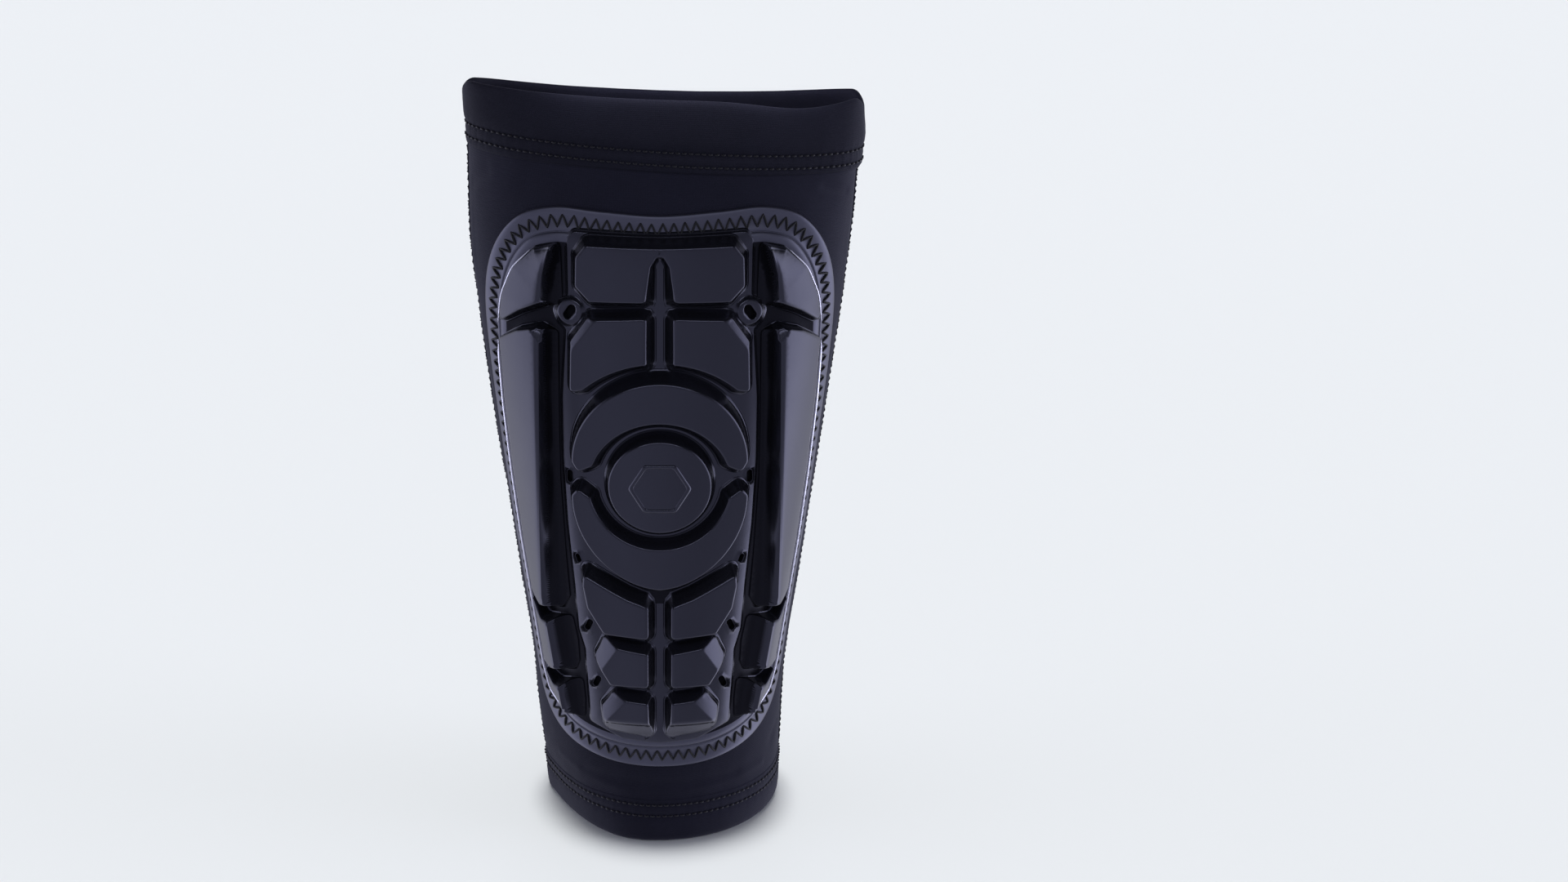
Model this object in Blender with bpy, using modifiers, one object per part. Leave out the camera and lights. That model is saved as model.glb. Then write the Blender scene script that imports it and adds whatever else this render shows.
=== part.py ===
"""Shin guard: a stretch-knit sleeve with an impact pad sewn on its front.

The pad is a moulded cover with a pocket for each foam block, a backing cloth that closes the
pockets, and a zigzag seam round its flange.  The sleeve is two panels joined by side seams, with a
folded cuff that holds an elastic band at the top and a folded hem at the bottom.

Flat parts of the pad are drawn in pad coordinates, all in millimetres: s runs round the shin from
the front centre line, z runs up, and h stands out from the sleeve's face.  wrap() then lays them on
the sleeve.  +Z is up the leg, the pad faces -Y, and the sleeve stands on its hem at z = 0.
"""

import math

import bmesh
import bpy
import numpy as np

MM = 0.001

# Sleeve sections: height, half width, depth in front of the side seams, depth behind them.
STATIONS = np.array([
    (0.0, 43.5, 44.5, 33.0),
    (60.0, 46.8, 45.5, 36.0),
    (120.0, 54.6, 44.0, 36.0),
    (180.0, 62.0, 40.0, 33.0),
    (230.0, 66.8, 30.0, 22.0),
    (270.0, 68.8, 16.0, 13.0),
])
HEIGHT = 270.0
FULLNESS = 0.88         # under 1, the sections are fuller than ellipses at the sides
SEAM_Y = 8.7            # the side seams lie this far behind the middle of the whole guard
FABRIC = 0.8
CLEAR = 0.3             # between pieces that touch
RING_STEPS = 40         # facets round the sleeve
PANEL_ROWS = 16

CUFF_BOTTOM = 246.0
CUFF_ROWS = (CUFF_BOTTOM, 253.4, 261.0)     # heights where the cuff's walls are jointed
HEM_TOP = 16.5
FOLD_OUT = 1.0          # outer face of the cuff and the hem, from the sleeve's face
FOLD_IN = -1.8          # their inner face
FOLD_WALL = 0.7
PANEL_TOP = CUFF_ROWS[1] - 0.8
CUFF_STITCH_ROWS = (251.6, 247.4)
HEM_STITCH_ROWS = (15.0, 10.5)
THREAD = 0.3            # thread radius
SEAM_RADIUS = 0.9

LAYER_GAP = 0.5         # the pad's backing stands this far off the sleeve
BACKING = 0.5
COVER_BACK = LAYER_GAP + BACKING + CLEAR
COVER_FACE = COVER_BACK + 1.1
SPINE_FACE = COVER_FACE + 0.8
POD_TOP = 8.4
POD_ROOT = COVER_BACK + 0.5
DRAFT = 1.6             # how far a pod's wall spreads from its rim to its root
CHAMFER = 0.6
EDGE_CUT = 0.4          # bevel round the flange and the spine
CORNER = 0.9            # cut off each corner of a pod
SHELL = 0.85            # wall of the cover over a foam block
WING_RIDGE = 9.0        # height of a wing pod along its ridge
WING_EDGE = 3.8         # and along its outer edge and its foot

STITCH_PITCH = 4.4
STITCH_INNER = 6.4      # the zigzag's limits, in from the flange's edge
STITCH_OUTER = 3.2

CELL_S = 7.7            # the pad is cut on this grid before it is bent
CUT_HEIGHTS = (70, 105, 140, 166, 186, 201, 214, 225)

# Right halves of the pad's outlines, in pad coordinates (s, z).
FLANGE = ((0, 231.8), (20, 233), (36, 233.8), (49, 229.5), (59, 218), (64.6, 202), (65.8, 182),
          (64, 152), (61, 121), (57, 89), (53.4, 63), (48, 48.5), (37, 38.5), (20, 33), (0, 31.5))
SPINE = ((0, 224.2), (28.6, 225), (30.6, 221), (30.8, 205), (34.2, 203.6), (35.4, 199.8),
         (34.2, 196), (31.6, 193.5), (33.2, 170), (33.2, 148), (32, 124), (29.8, 101), (28.6, 84),
         (26.2, 76.5), (25.4, 62), (24.4, 48), (13, 43), (0, 42))
ROW_1 = ((2.6, 222.4), (24, 223.4), (26.9, 219), (27, 209), (22.4, 204.1), (4.6, 204.1))
ROW_3 = ((3.6, 97), (10.5, 99.9), (17.5, 103.7), (24.3, 107.4), (24.5, 103.5), (23, 95.5),
         (17.6, 86.3), (3.6, 85.2))
ROW_4 = ((3.6, 79.4), (17.6, 82), (20.5, 75.6), (15.4, 66.7), (3.6, 66.6))
ROW_5 = ((3.6, 60.2), (14.4, 61.5), (18.2, 56), (17.2, 48.6), (3.6, 46.6))
WING_1 = ((32.4, 223.4), (42, 220.6), (50.5, 213.2), (56, 203.2), (58.4, 192), (46, 197.7),
          (36.6, 201.4), (32.6, 201.6))
WING_2 = ((34.2, 192.8), (40, 195.2), (47.5, 192.8), (58.8, 186.8), (58.2, 165), (56.2, 140),
          (53.4, 115), (50.4, 94.8), (41, 90.8), (31.6, 93.8), (33, 112), (34.4, 140), (34.4, 168))
WING_3 = ((31, 89.4), (41, 87.2), (49.6, 91.2), (48.1, 79), (45.8, 67), (37, 66.4), (28.4, 69.8),
          (29, 79))
WING_4 = ((27.4, 65.4), (36.5, 62.6), (45, 63.2), (42.2, 55.3), (35.5, 49.9), (26.8, 46.8),
          (26.6, 56))
RIDGE = ((34.6, 224), (37.4, 212), (38.5, 196), (38.5, 96), (34.4, 71), (30.6, 47))
WING_RIM = ((32.4, 223.6), (42, 220.8), (50.5, 213.4), (56, 203.4), (58.8, 188), (58.2, 165),
            (56.2, 140), (53.4, 115), (49.9, 92), (45.6, 65), (42.2, 55.2), (35.5, 49.8), (26.8, 46.6))
WING_FOOT = ((31.8, 224), (32.4, 201), (34.2, 170), (34.2, 140), (32.8, 112), (30.6, 88),
             (28.2, 70), (26.6, 56), (26.4, 46))

DISC_AT = 141.3
DISC_RADIUS = 16.2
WELL_RADIUS = 22.6
UPPER_ARC_AT = 149.3
UPPER_ARC_RADIUS = 28.0
LOWER_ARC_AT = 137.0
LOWER_ARC_DROP = 33.0
LOWER_ARC_POWER = 1.7
ROW_2_ARC_RADIUS = 36.4
ROW_2_ARC_AT = 147.6

# Vents: place, length, width and lean from the vertical, in degrees.
VENTS = ((30.2, 199.8, 5.6, 3.4, -35), (30.5, 142, 5.0, 2.4, 0), (27.9, 111.6, 3.6, 2.0, 20),
         (24.4, 86.6, 5.0, 2.4, -25), (21.6, 64.9, 5.0, 2.4, -25))

NAVY_KNIT = (0.013, 0.013, 0.022)
THREAD_BLACK = (0.012, 0.012, 0.016)
COVER_BLACK = (0.020, 0.020, 0.026)
FOAM_GREY = (0.05, 0.05, 0.06)
ELASTIC_BLACK = (0.02, 0.02, 0.02)


# ---------------------------------------------------------------- the sleeve's surface


def station(z, column):
    """A column of STATIONS at height z, on a smooth curve through the stations."""
    heights = STATIONS[:, 0]
    values = STATIONS[:, column]
    slopes = np.gradient(values, heights)
    i = np.clip(np.searchsorted(heights, z) - 1, 0, len(heights) - 2)
    span = heights[i + 1] - heights[i]
    t = (z - heights[i]) / span
    start = values[i] * (1 + 2 * t) + slopes[i] * span * t
    end = values[i + 1] * (3 - 2 * t) - slopes[i + 1] * span * (1 - t)
    return (1 - t) ** 2 * start + t * t * end


def section(theta, z):
    """Half width and depth of the section at height z, the depth for the side that theta is on."""
    front = np.cos(theta) >= 0
    return station(z, 1), np.where(front, station(z, 2), station(z, 3))


def signed_power(value, power):
    return np.sign(value) * np.abs(value) ** power


def around(theta, z, h):
    """World points, in metres, at angle theta from the front, h outside the sleeve, level with z."""
    width, depth = section(theta, z)
    sine, cosine = np.sin(theta), np.cos(theta)
    normal = np.stack([FULLNESS * depth * sine, -width * signed_power(cosine, 2 - FULLNESS)])
    normal = normal / np.linalg.norm(normal, axis=0)
    x = width * sine + normal[0] * h
    y = -depth * signed_power(cosine, FULLNESS) + normal[1] * h + SEAM_Y
    return np.stack([x, y, z + 0 * x], axis=-1) * MM


def wrap(flat):
    """Pad coordinates (s, h, z), one row a point, laid on the front of the sleeve, in metres."""
    s, h, z = flat.T
    width, depth = station(z, 1), station(z, 2)
    turn = np.linspace(0, math.pi / 2, 121)
    angle = np.empty_like(s)
    for i in range(len(s)):
        x = width[i] * np.sin(turn)
        y = depth[i] * np.abs(np.cos(turn)) ** FULLNESS
        length = np.concatenate([[0], np.cumsum(np.hypot(np.diff(x), np.diff(y)))])
        angle[i] = np.interp(abs(s[i]), length, turn) * np.sign(s[i])
    rise = 0.5
    widen = station(z + rise, 1) - station(z - rise, 1)
    deepen = station(z + rise, 2) - station(z - rise, 2)
    sine, cosine = np.sin(angle), np.cos(angle)
    normal = np.stack([
        FULLNESS * depth * sine,
        -width * cosine ** (2 - FULLNESS),
        -width * deepen * cosine**2 - FULLNESS * depth * widen * sine**2,
    ], axis=-1)
    normal /= np.linalg.norm(normal, axis=1, keepdims=True)
    face = np.stack([width * sine, -depth * cosine**FULLNESS + SEAM_Y, z], axis=-1)
    return (face + normal * h[:, None]) * MM


# ---------------------------------------------------------------- outlines


def mirrored(half):
    """The left-hand copy of an outline, still running the same way round."""
    return [(-s, z) for s, z in half[::-1]]


def whole(half):
    """A closed outline from its right half, whose ends lie on the centre line."""
    return list(half) + mirrored(half)[1:-1]


def smooth_closed(points, steps):
    """A closed Catmull-Rom curve through the points, with this many steps between them."""
    points = np.array(points, float)
    before, after, beyond = (np.roll(points, -k, axis=0) for k in (-1, 1, 2))
    out = []
    for t in np.arange(steps) / steps:
        out.append(0.5 * (2 * points + (after - before) * t
                          + (2 * before - 5 * points + 4 * after - beyond) * t**2
                          + (3 * points - before - 3 * after + beyond) * t**3))
    return np.stack(out, axis=1).reshape(-1, 2)


def signed_area(points):
    """Twice the area inside a closed outline, positive if it runs counter-clockwise."""
    s, z = points.T
    return np.sum(s * np.roll(z, -1) - np.roll(s, -1) * z)


def offset_outline(points, distance):
    """The outline moved outwards by a distance, corner by corner."""
    points = np.array(points, float)
    edge = np.roll(points, -1, axis=0) - points
    edge /= np.linalg.norm(edge, axis=1, keepdims=True)
    outward = np.stack([edge[:, 1], -edge[:, 0]], axis=1) * np.sign(signed_area(points))
    both = outward + np.roll(outward, 1, axis=0)
    return points + distance * 2 * both / np.sum(both * both, axis=1, keepdims=True)


def arc(centre, radius, start, end, steps):
    """Points on an arc about (0, centre), with angles in degrees from +s."""
    turn = np.radians(np.linspace(start, end, steps + 1))
    return [(radius * math.cos(a), centre + radius * math.sin(a)) for a in turn]


def lower_arc(steps):
    """The outer edge of the lower crescent, from its right tip to its left one."""
    out = []
    for a in np.radians(np.linspace(0, 180, steps + 1)):
        s = UPPER_ARC_RADIUS * math.cos(a)
        share = 1 - abs(math.cos(a)) ** LOWER_ARC_POWER
        out.append((s, LOWER_ARC_AT - LOWER_ARC_DROP * math.sqrt(share)))
    return out


def row_2():
    """The second spine pod, whose lower edge runs round the upper crescent."""
    edge = arc(ROW_2_ARC_AT, ROW_2_ARC_RADIUS, 83, 45, 3)
    return [(4.4, 199), (22.8, 198.2), (28.4, 190), (28.6, 173.6)] + edge[-2::-1]


def upper_crescent():
    inner = arc(DISC_AT, WELL_RADIUS, 162, 18, 8)
    return arc(UPPER_ARC_AT, UPPER_ARC_RADIUS, 0, 180, 10) + [(-26, 145.8)] + inner + [(26, 145.8)]


def lower_crescent():
    inner = arc(DISC_AT, WELL_RADIUS, 348, 192, 8)
    return [(26, 139.4)] + inner + [(-26, 139.4)] + lower_arc(12)[::-1]


def disc():
    return arc(DISC_AT, DISC_RADIUS, 0, 360, 20)[:-1]


def counter_clockwise(points):
    points = np.array(points, float)
    return points if signed_area(points) > 0 else points[::-1]


def rim_at(outline, distance, blunt=True):
    """The outline moved outwards by a distance, then with each sharp corner cut off."""
    points = offset_outline(counter_clockwise(outline), distance)
    if not blunt:
        return points
    out = []
    for i, point in enumerate(points):
        back = points[i - 1] - point
        on = points[(i + 1) % len(points)] - point
        turn = np.dot(back, on) / (np.linalg.norm(back) * np.linalg.norm(on))
        if turn < -0.8:
            out.append(point)
            continue
        out.append(point + back / np.linalg.norm(back) * CORNER)
        out.append(point + on / np.linalg.norm(on) * CORNER)
    return np.array(out)


# ---------------------------------------------------------------- pad solids, before bending


def distance_to(line, s, z):
    """How far (s, z) is from a polyline."""
    best = np.full(np.shape(s), np.inf)
    for (s0, z0), (s1, z1) in zip(line[:-1], line[1:]):
        run = (s1 - s0) ** 2 + (z1 - z0) ** 2
        t = np.clip(((s - s0) * (s1 - s0) + (z - z0) * (z1 - z0)) / run, 0, 1)
        best = np.minimum(best, np.hypot(s - s0 - t * (s1 - s0), z - z0 - t * (z1 - z0)))
    return best


def wing_face(s, z):
    """Height of the wing pods' faces: a ridge that falls to the outer edge and to the foot."""
    s = np.abs(s)
    heights, places = zip(*[(z0, s0) for s0, z0 in reversed(RIDGE)])
    outside = s > np.interp(z, heights, places)
    to_low = np.where(outside, distance_to(WING_RIM, s, z), distance_to(WING_FOOT, s, z))
    to_ridge = distance_to(RIDGE, s, z)
    return WING_EDGE + (WING_RIDGE - WING_EDGE) * to_low / (to_low + to_ridge + 1e-9)


def draft_at(h):
    """How far a pod's wall stands outside its rim outline at height h."""
    return DRAFT * (POD_TOP - CHAMFER - h) / (POD_TOP - CHAMFER - POD_ROOT)


def loft(rings):
    """A closed bmesh through rings of (counter-clockwise outline, h), in pad coordinates (s, h, z)."""
    bm = bmesh.new()
    rows = []
    for outline, h in rings:
        rows.append([bm.verts.new((s, h, z)) for s, z in outline])
    for low, high in zip(rows[:-1], rows[1:]):
        for i in range(len(low)):
            bm.faces.new((low[i], low[i - 1], high[i - 1], high[i]))
    bm.faces.new(rows[0])
    bm.faces.new(rows[-1][::-1])
    return bm


def pod(outline, inset, low, high, chamfer, wing):
    """A drafted block from h = low to high, inset from the cover's own face."""
    shoulder = high - chamfer
    spread = -inset - (DRAFT if wing else 0)
    levels = [low, COVER_FACE, shoulder] if wing else [low, shoulder]
    rings = [(rim_at(outline, spread + draft_at(h), inset == 0), h) for h in levels]
    if chamfer:
        rings.append((rim_at(outline, spread + draft_at(shoulder) - chamfer, inset == 0), high))
    bm = loft(rings)
    if wing:
        drop = POD_TOP - high
        cut_ridge(bm, outline)
        cut_grid(bm)
        for v in bm.verts:
            if v.co.y > COVER_FACE:
                face = float(wing_face(v.co.x, v.co.z)) - drop
                share = (v.co.y - COVER_FACE) / (high - COVER_FACE)
                v.co.y = COVER_FACE + share * (face - COVER_FACE)
    return bm


def cut(bm, point, normal):
    bmesh.ops.bisect_plane(bm, geom=bm.verts[:] + bm.edges[:] + bm.faces[:], dist=1e-4,
                           plane_co=point, plane_no=normal)


def cut_grid(bm):
    """Cuts the faces on the pad's grid, so that they can follow the sleeve."""
    for k in range(-8, 9):
        cut(bm, (k * CELL_S, 0, 0), (1, 0, 0))
    for z in CUT_HEIGHTS:
        cut(bm, (0, 0, z), (0, 0, 1))


def cut_ridge(bm, outline):
    """Cuts a wing pod along the stretches of the ridge that run through it."""
    heights = [z for _, z in outline]
    side = math.copysign(1, outline[0][0])
    for (s0, z0), (s1, z1) in zip(RIDGE[:-1], RIDGE[1:]):
        if min(heights) < z0 and z1 < max(heights):
            cut(bm, (side * s0, 0, z0), (z1 - z0, 0, side * (s0 - s1)))


def bend(bm):
    """Cuts a pad solid on the grid and lays it on the sleeve."""
    cut_grid(bm)
    bmesh.ops.triangulate(bm, faces=bm.faces)
    flat = np.array([v.co[:] for v in bm.verts])
    for v, place in zip(bm.verts, wrap(flat)):
        v.co = place
    # h points towards -Y, so bending mirrors the solid.
    bmesh.ops.reverse_faces(bm, faces=bm.faces)


# ---------------------------------------------------------------- Blender objects


def clear_scene():
    for obj in list(bpy.data.objects):
        bpy.data.objects.remove(obj, do_unlink=True)


def new_collection(name):
    collection = bpy.data.collections.new(name)
    bpy.context.scene.collection.children.link(collection)
    return collection


def material(name, colour, roughness):
    mat = bpy.data.materials.new(name)
    mat.use_nodes = True
    shader = mat.node_tree.nodes["Principled BSDF"]
    shader.inputs["Base Color"].default_value = (*colour, 1)
    shader.inputs["Roughness"].default_value = roughness
    shader.inputs["Metallic"].default_value = 0.0
    return mat


def add_object(name, mesh, finish, collection):
    colour, roughness = finish
    mesh.materials.append(material(name, colour, roughness))
    obj = bpy.data.objects.new(name, mesh)
    collection.objects.link(obj)
    return obj


def add_bmesh(name, bm, finish, collection):
    mesh = bpy.data.meshes.new(name)
    bm.to_mesh(mesh)
    bm.free()
    return add_object(name, mesh, finish, collection)


def add_ring(name, profile, finish, collection):
    """A closed band round the sleeve, with a profile of (h, z) points."""
    bpy.ops.mesh.primitive_torus_add(major_segments=RING_STEPS, minor_segments=len(profile),
                                     major_radius=2, minor_radius=1)
    obj = bpy.context.active_object
    for v in obj.data.vertices:
        x, y, z = v.co
        turn = math.atan2(z, math.hypot(x, y) - 2) / (2 * math.pi)
        h, height = profile[round(turn * len(profile)) % len(profile)]
        v.co = around(math.atan2(y, x) + math.pi / 2, height, h)
    mesh = obj.data.copy()
    bpy.data.objects.remove(obj)
    mesh.shade_smooth()
    mesh.set_sharp_from_angle(angle=math.radians(30))
    mesh.name = name
    return add_object(name, mesh, finish, collection)


def add_panel(name, back, finish, collection):
    """Half of the sleeve, an open sheet thickened inwards."""
    half = RING_STEPS // 2
    bpy.ops.mesh.primitive_grid_add(x_subdivisions=half, y_subdivisions=PANEL_ROWS, size=2)
    obj = bpy.context.active_object
    mesh = obj.data.copy()
    bpy.data.objects.remove(obj)
    low = FOLD_WALL + 2 * CLEAR
    for v in mesh.vertices:
        z = low + (PANEL_TOP - low) * (v.co.y + 1) / 2
        depth = station(z, 3 if back else 2)
        edge = (SEAM_RADIUS + CLEAR) / depth
        turn = v.co.x * math.pi / 2
        turn = max(edge - math.pi / 2, min(math.pi / 2 - edge, turn))
        v.co = around(turn + math.pi * back, z, 0.0)
    mesh.name = name
    panel = add_object(name, mesh, finish, collection)
    solid = panel.modifiers.new("thickness", "SOLIDIFY")
    solid.thickness = FABRIC * MM
    solid.offset = -1
    solid.use_even_offset = True
    mesh.shade_smooth()
    return panel


def add_tube(name, points, radius, cyclic, finish, collection):
    """A cord or thread along the points, which are in metres."""
    curve = bpy.data.curves.new(name, "CURVE")
    curve.dimensions = "3D"
    curve.bevel_depth = radius * MM
    curve.bevel_resolution = 0 if cyclic else 2
    curve.use_fill_caps = not cyclic
    spline = curve.splines.new("POLY")
    spline.points.add(len(points) - 1)
    for point, place in zip(spline.points, points):
        point.co = (*place, 1)
    spline.use_cyclic_u = cyclic
    return add_object(name, curve, finish, collection)


# ---------------------------------------------------------------- the pieces


def build_sleeve(parts):
    knit = (NAVY_KNIT, 0.85)
    add_panel("sleeve_front_panel", False, knit, parts)
    add_panel("sleeve_back_panel", True, knit, parts)
    rows = np.linspace(HEM_TOP + 2 * CLEAR, CUFF_BOTTOM - 2 * CLEAR, 22)
    for side, name in ((1, "right_side_seam"), (-1, "left_side_seam")):
        line = around(np.full(len(rows), side * math.pi / 2), rows, np.full(len(rows), -FABRIC / 2))
        add_tube(name, line, SEAM_RADIUS, False, knit, parts)


def build_cuff(parts):
    wall_out = FOLD_OUT - FOLD_WALL
    wall_in = FOLD_IN + FOLD_WALL
    roof = HEIGHT - FOLD_WALL
    cuff = [(FOLD_OUT, z) for z in CUFF_ROWS]
    cuff += [(FOLD_OUT, HEIGHT - 1.0), (0.4, HEIGHT), (-1.2, HEIGHT), (FOLD_IN, HEIGHT - 1.0)]
    cuff += [(FOLD_IN, z) for z in reversed(CUFF_ROWS)]
    cuff += [(wall_in, z) for z in CUFF_ROWS]
    cuff += [(wall_in, roof), (wall_out, roof)]
    cuff += [(wall_out, z) for z in reversed(CUFF_ROWS)]
    add_ring("top_cuff", cuff, (NAVY_KNIT, 0.85), parts)
    outer, inner = wall_out - CLEAR, wall_in + CLEAR
    band = [(outer, z) for z in (*CUFF_ROWS[1:], roof - CLEAR)]
    band += [(inner, z) for z in (roof - CLEAR, *CUFF_ROWS[:0:-1])]
    add_ring("top_cuff_elastic", band, (ELASTIC_BLACK, 0.7), parts)


def build_hem(parts):
    wall_out = FOLD_OUT - FOLD_WALL
    wall_in = FOLD_IN + FOLD_WALL
    hem = [(FOLD_OUT, 0.7), (FOLD_OUT, HEM_TOP), (wall_out, HEM_TOP), (wall_out, FOLD_WALL),
           (wall_in, FOLD_WALL), (wall_in, HEM_TOP), (FOLD_IN, HEM_TOP), (FOLD_IN, 0.7),
           (-1.5, 0), (0.6, 0)]
    add_ring("bottom_hem", hem, (NAVY_KNIT, 0.85), parts)


def build_stitch_rings(parts):
    h = FOLD_OUT + CLEAR + THREAD
    names = ("top_cuff_stitch_upper", "top_cuff_stitch_lower",
             "bottom_hem_stitch_upper", "bottom_hem_stitch_lower")
    for name, z in zip(names, CUFF_STITCH_ROWS + HEM_STITCH_ROWS):
        profile = [(h + THREAD, z), (h, z + THREAD), (h - THREAD, z), (h, z - THREAD)]
        add_ring(name, profile, (THREAD_BLACK, 0.6), parts)


def build_backing(parts):
    edge = offset_outline(counter_clockwise(smooth_closed(whole(FLANGE), 2)), -0.6)
    bm = loft([(edge, LAYER_GAP), (edge, LAYER_GAP + BACKING)])
    bend(bm)
    add_bmesh("pad_backing", bm, (NAVY_KNIT, 0.9), parts)


def pod_outlines():
    """Every pod: name, rim outline and whether it is a wing."""
    pairs = (("row_1", ROW_1, False), ("row_2", row_2(), False), ("row_3", ROW_3, False),
             ("row_4", ROW_4, False), ("row_5", ROW_5, False), ("wing_1", WING_1, True),
             ("wing_2", WING_2, True), ("wing_3", WING_3, True), ("wing_4", WING_4, True))
    out = [("upper_crescent", upper_crescent(), False), ("centre_disc", disc(), False),
           ("lower_crescent", lower_crescent(), False)]
    for name, outline, wing in pairs:
        out.append((name + "_right", outline, wing))
        out.append((name + "_left", mirrored(outline), wing))
    return out


def vent_cutter(s, z, length, width, lean):
    """A slot with round ends, through the cover."""
    turn = math.radians(lean)
    along = np.array((math.sin(turn), math.cos(turn)))
    across = np.array((along[1], -along[0]))
    outline = []
    for a in np.radians(np.arange(0, 360, 45) + 22.5):
        end = math.copysign((length - width) / 2, math.sin(a))
        place = across * math.cos(a) * width / 2 + along * (math.sin(a) * width / 2 + end)
        outline.append((s + place[0], z + place[1]))
    return loft([(outline, 0.0), (outline, 2 * COVER_FACE)])


def build_cover(parts, cutters):
    """The moulded cover: flange, raised spine and a hollow pocket for each foam block."""
    edge = counter_clockwise(smooth_closed(whole(FLANGE), 2))
    plate = loft([(edge, COVER_BACK), (edge, COVER_FACE - EDGE_CUT),
                  (offset_outline(edge, -EDGE_CUT), COVER_FACE)])
    cover = add_bmesh("moulded_cover", plate, (COVER_BLACK, 0.35), parts)
    spine = loft([(rim_at(whole(SPINE), 0), POD_ROOT), (rim_at(whole(SPINE), -EDGE_CUT), SPINE_FACE)])
    solids = [("spine", spine, "UNION")]
    pods = pod_outlines()
    for name, outline, wing in pods:
        solids.append((name, pod(outline, 0, POD_ROOT, POD_TOP, CHAMFER, wing), "UNION"))
    for name, outline, wing in pods:
        pocket = pod(outline, SHELL, COVER_BACK - 0.6, POD_TOP - SHELL, 0, wing)
        solids.append((name + "_pocket", pocket, "DIFFERENCE"))
    for number, (s, z, length, width, lean) in enumerate(VENTS, 1):
        for side in (1, -1):
            slot = vent_cutter(side * s, z, length, width, side * lean)
            solids.append((f"vent_{number}_{'right' if side > 0 else 'left'}", slot, "DIFFERENCE"))
    for name, bm, operation in solids:
        helper = add_bmesh("shape_" + name, bm, (COVER_BLACK, 0.5), cutters)
        helper.hide_render = True
        helper.display_type = "WIRE"
        joined = cover.modifiers.new(name, "BOOLEAN")
        joined.operation = operation
        joined.object = helper
    bpy.context.view_layer.update()
    graph = bpy.context.evaluated_depsgraph_get()
    flat = bpy.data.meshes.new_from_object(cover.evaluated_get(graph))
    bm = bmesh.new()
    bm.from_mesh(flat)
    bpy.data.meshes.remove(flat)
    bmesh.ops.dissolve_limit(bm, angle_limit=math.radians(0.5), verts=bm.verts, edges=bm.edges)
    bend(bm)
    cover.modifiers.clear()
    bm.to_mesh(cover.data)
    bm.free()


def build_foam(parts):
    for name, outline, wing in pod_outlines():
        bm = pod(outline, SHELL + CLEAR, COVER_BACK, POD_TOP - SHELL - CLEAR, 0, wing)
        bend(bm)
        add_bmesh(name + "_foam", bm, (FOAM_GREY, 0.8), parts)


def build_zigzag(parts):
    """The zigzag seam round the flange, one thread that steps between two lines."""
    edge = counter_clockwise(smooth_closed(whole(FLANGE), 24))
    inner = offset_outline(edge, -STITCH_INNER)
    outer = offset_outline(edge, -STITCH_OUTER)
    middle = (inner + outer) / 2
    steps = np.linalg.norm(np.roll(middle, -1, axis=0) - middle, axis=1)
    length = np.concatenate([[0], np.cumsum(steps)])
    count = 2 * round(length[-1] / STITCH_PITCH)
    at = np.arange(count) * length[-1] / count
    flat = []
    for i, where in enumerate(at):
        line = outer if i % 2 else inner
        closed = np.vstack([line, line[:1]])
        s, z = (np.interp(where, length, closed[:, k]) for k in (0, 1))
        flat.append((s, COVER_FACE + CLEAR + THREAD, z))
    add_tube("zigzag_stitch", wrap(np.array(flat)), THREAD, True, (THREAD_BLACK, 0.6), parts)


def main():
    clear_scene()
    parts = new_collection("shin_guard")
    cutters = new_collection("cutters")
    build_sleeve(parts)
    build_cuff(parts)
    build_hem(parts)
    build_stitch_rings(parts)
    build_backing(parts)
    build_cover(parts, cutters)
    build_foam(parts)
    build_zigzag(parts)


main()
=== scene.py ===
"""Looks of the shin guard: a knit sleeve with a moulded, foam-filled pad sewn on its front."""

import math

import bpy
import numpy as np
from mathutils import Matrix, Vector, noise
from mathutils.geometry import delaunay_2d_cdt


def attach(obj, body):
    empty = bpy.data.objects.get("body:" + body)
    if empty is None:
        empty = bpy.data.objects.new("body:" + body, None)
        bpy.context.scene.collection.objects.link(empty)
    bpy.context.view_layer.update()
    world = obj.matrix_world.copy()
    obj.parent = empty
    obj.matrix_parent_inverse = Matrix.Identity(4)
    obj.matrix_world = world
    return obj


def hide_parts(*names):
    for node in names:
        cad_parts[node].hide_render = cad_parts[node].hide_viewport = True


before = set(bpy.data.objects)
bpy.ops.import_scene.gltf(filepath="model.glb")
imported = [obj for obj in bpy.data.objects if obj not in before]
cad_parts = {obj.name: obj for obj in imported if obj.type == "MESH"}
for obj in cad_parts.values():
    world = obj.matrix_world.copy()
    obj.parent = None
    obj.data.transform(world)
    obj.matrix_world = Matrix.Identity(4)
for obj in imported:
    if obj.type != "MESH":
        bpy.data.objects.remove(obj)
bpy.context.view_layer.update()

MM = 0.001

# ---- the frame's shape, in millimetres
# Pad coordinates: s runs round the shin from the front centre line, z up, h out from the sleeve.

STATIONS = np.array([
    (0.0, 43.5, 44.5, 33.0),
    (60.0, 46.8, 45.5, 36.0),
    (120.0, 54.6, 44.0, 36.0),
    (180.0, 62.0, 40.0, 33.0),
    (230.0, 66.8, 30.0, 22.0),
    (270.0, 68.8, 16.0, 13.0),
])
FULLNESS = 0.88
SEAM_Y = 8.7
HEIGHT = 270.0
CUFF_BOTTOM = 246.0
HEM_TOP = 16.5

POD_TOP = 8.4
PLATE = 3.3             # face of the spine's plate
PLATE_FALL = 0.9        # how far it falls to its edges
FLOOR = 1.7             # floor of the channels beside it
RIM_FACE = 2.3
WING_RIDGE = 9.2
WING_EDGE = 4.4

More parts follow.
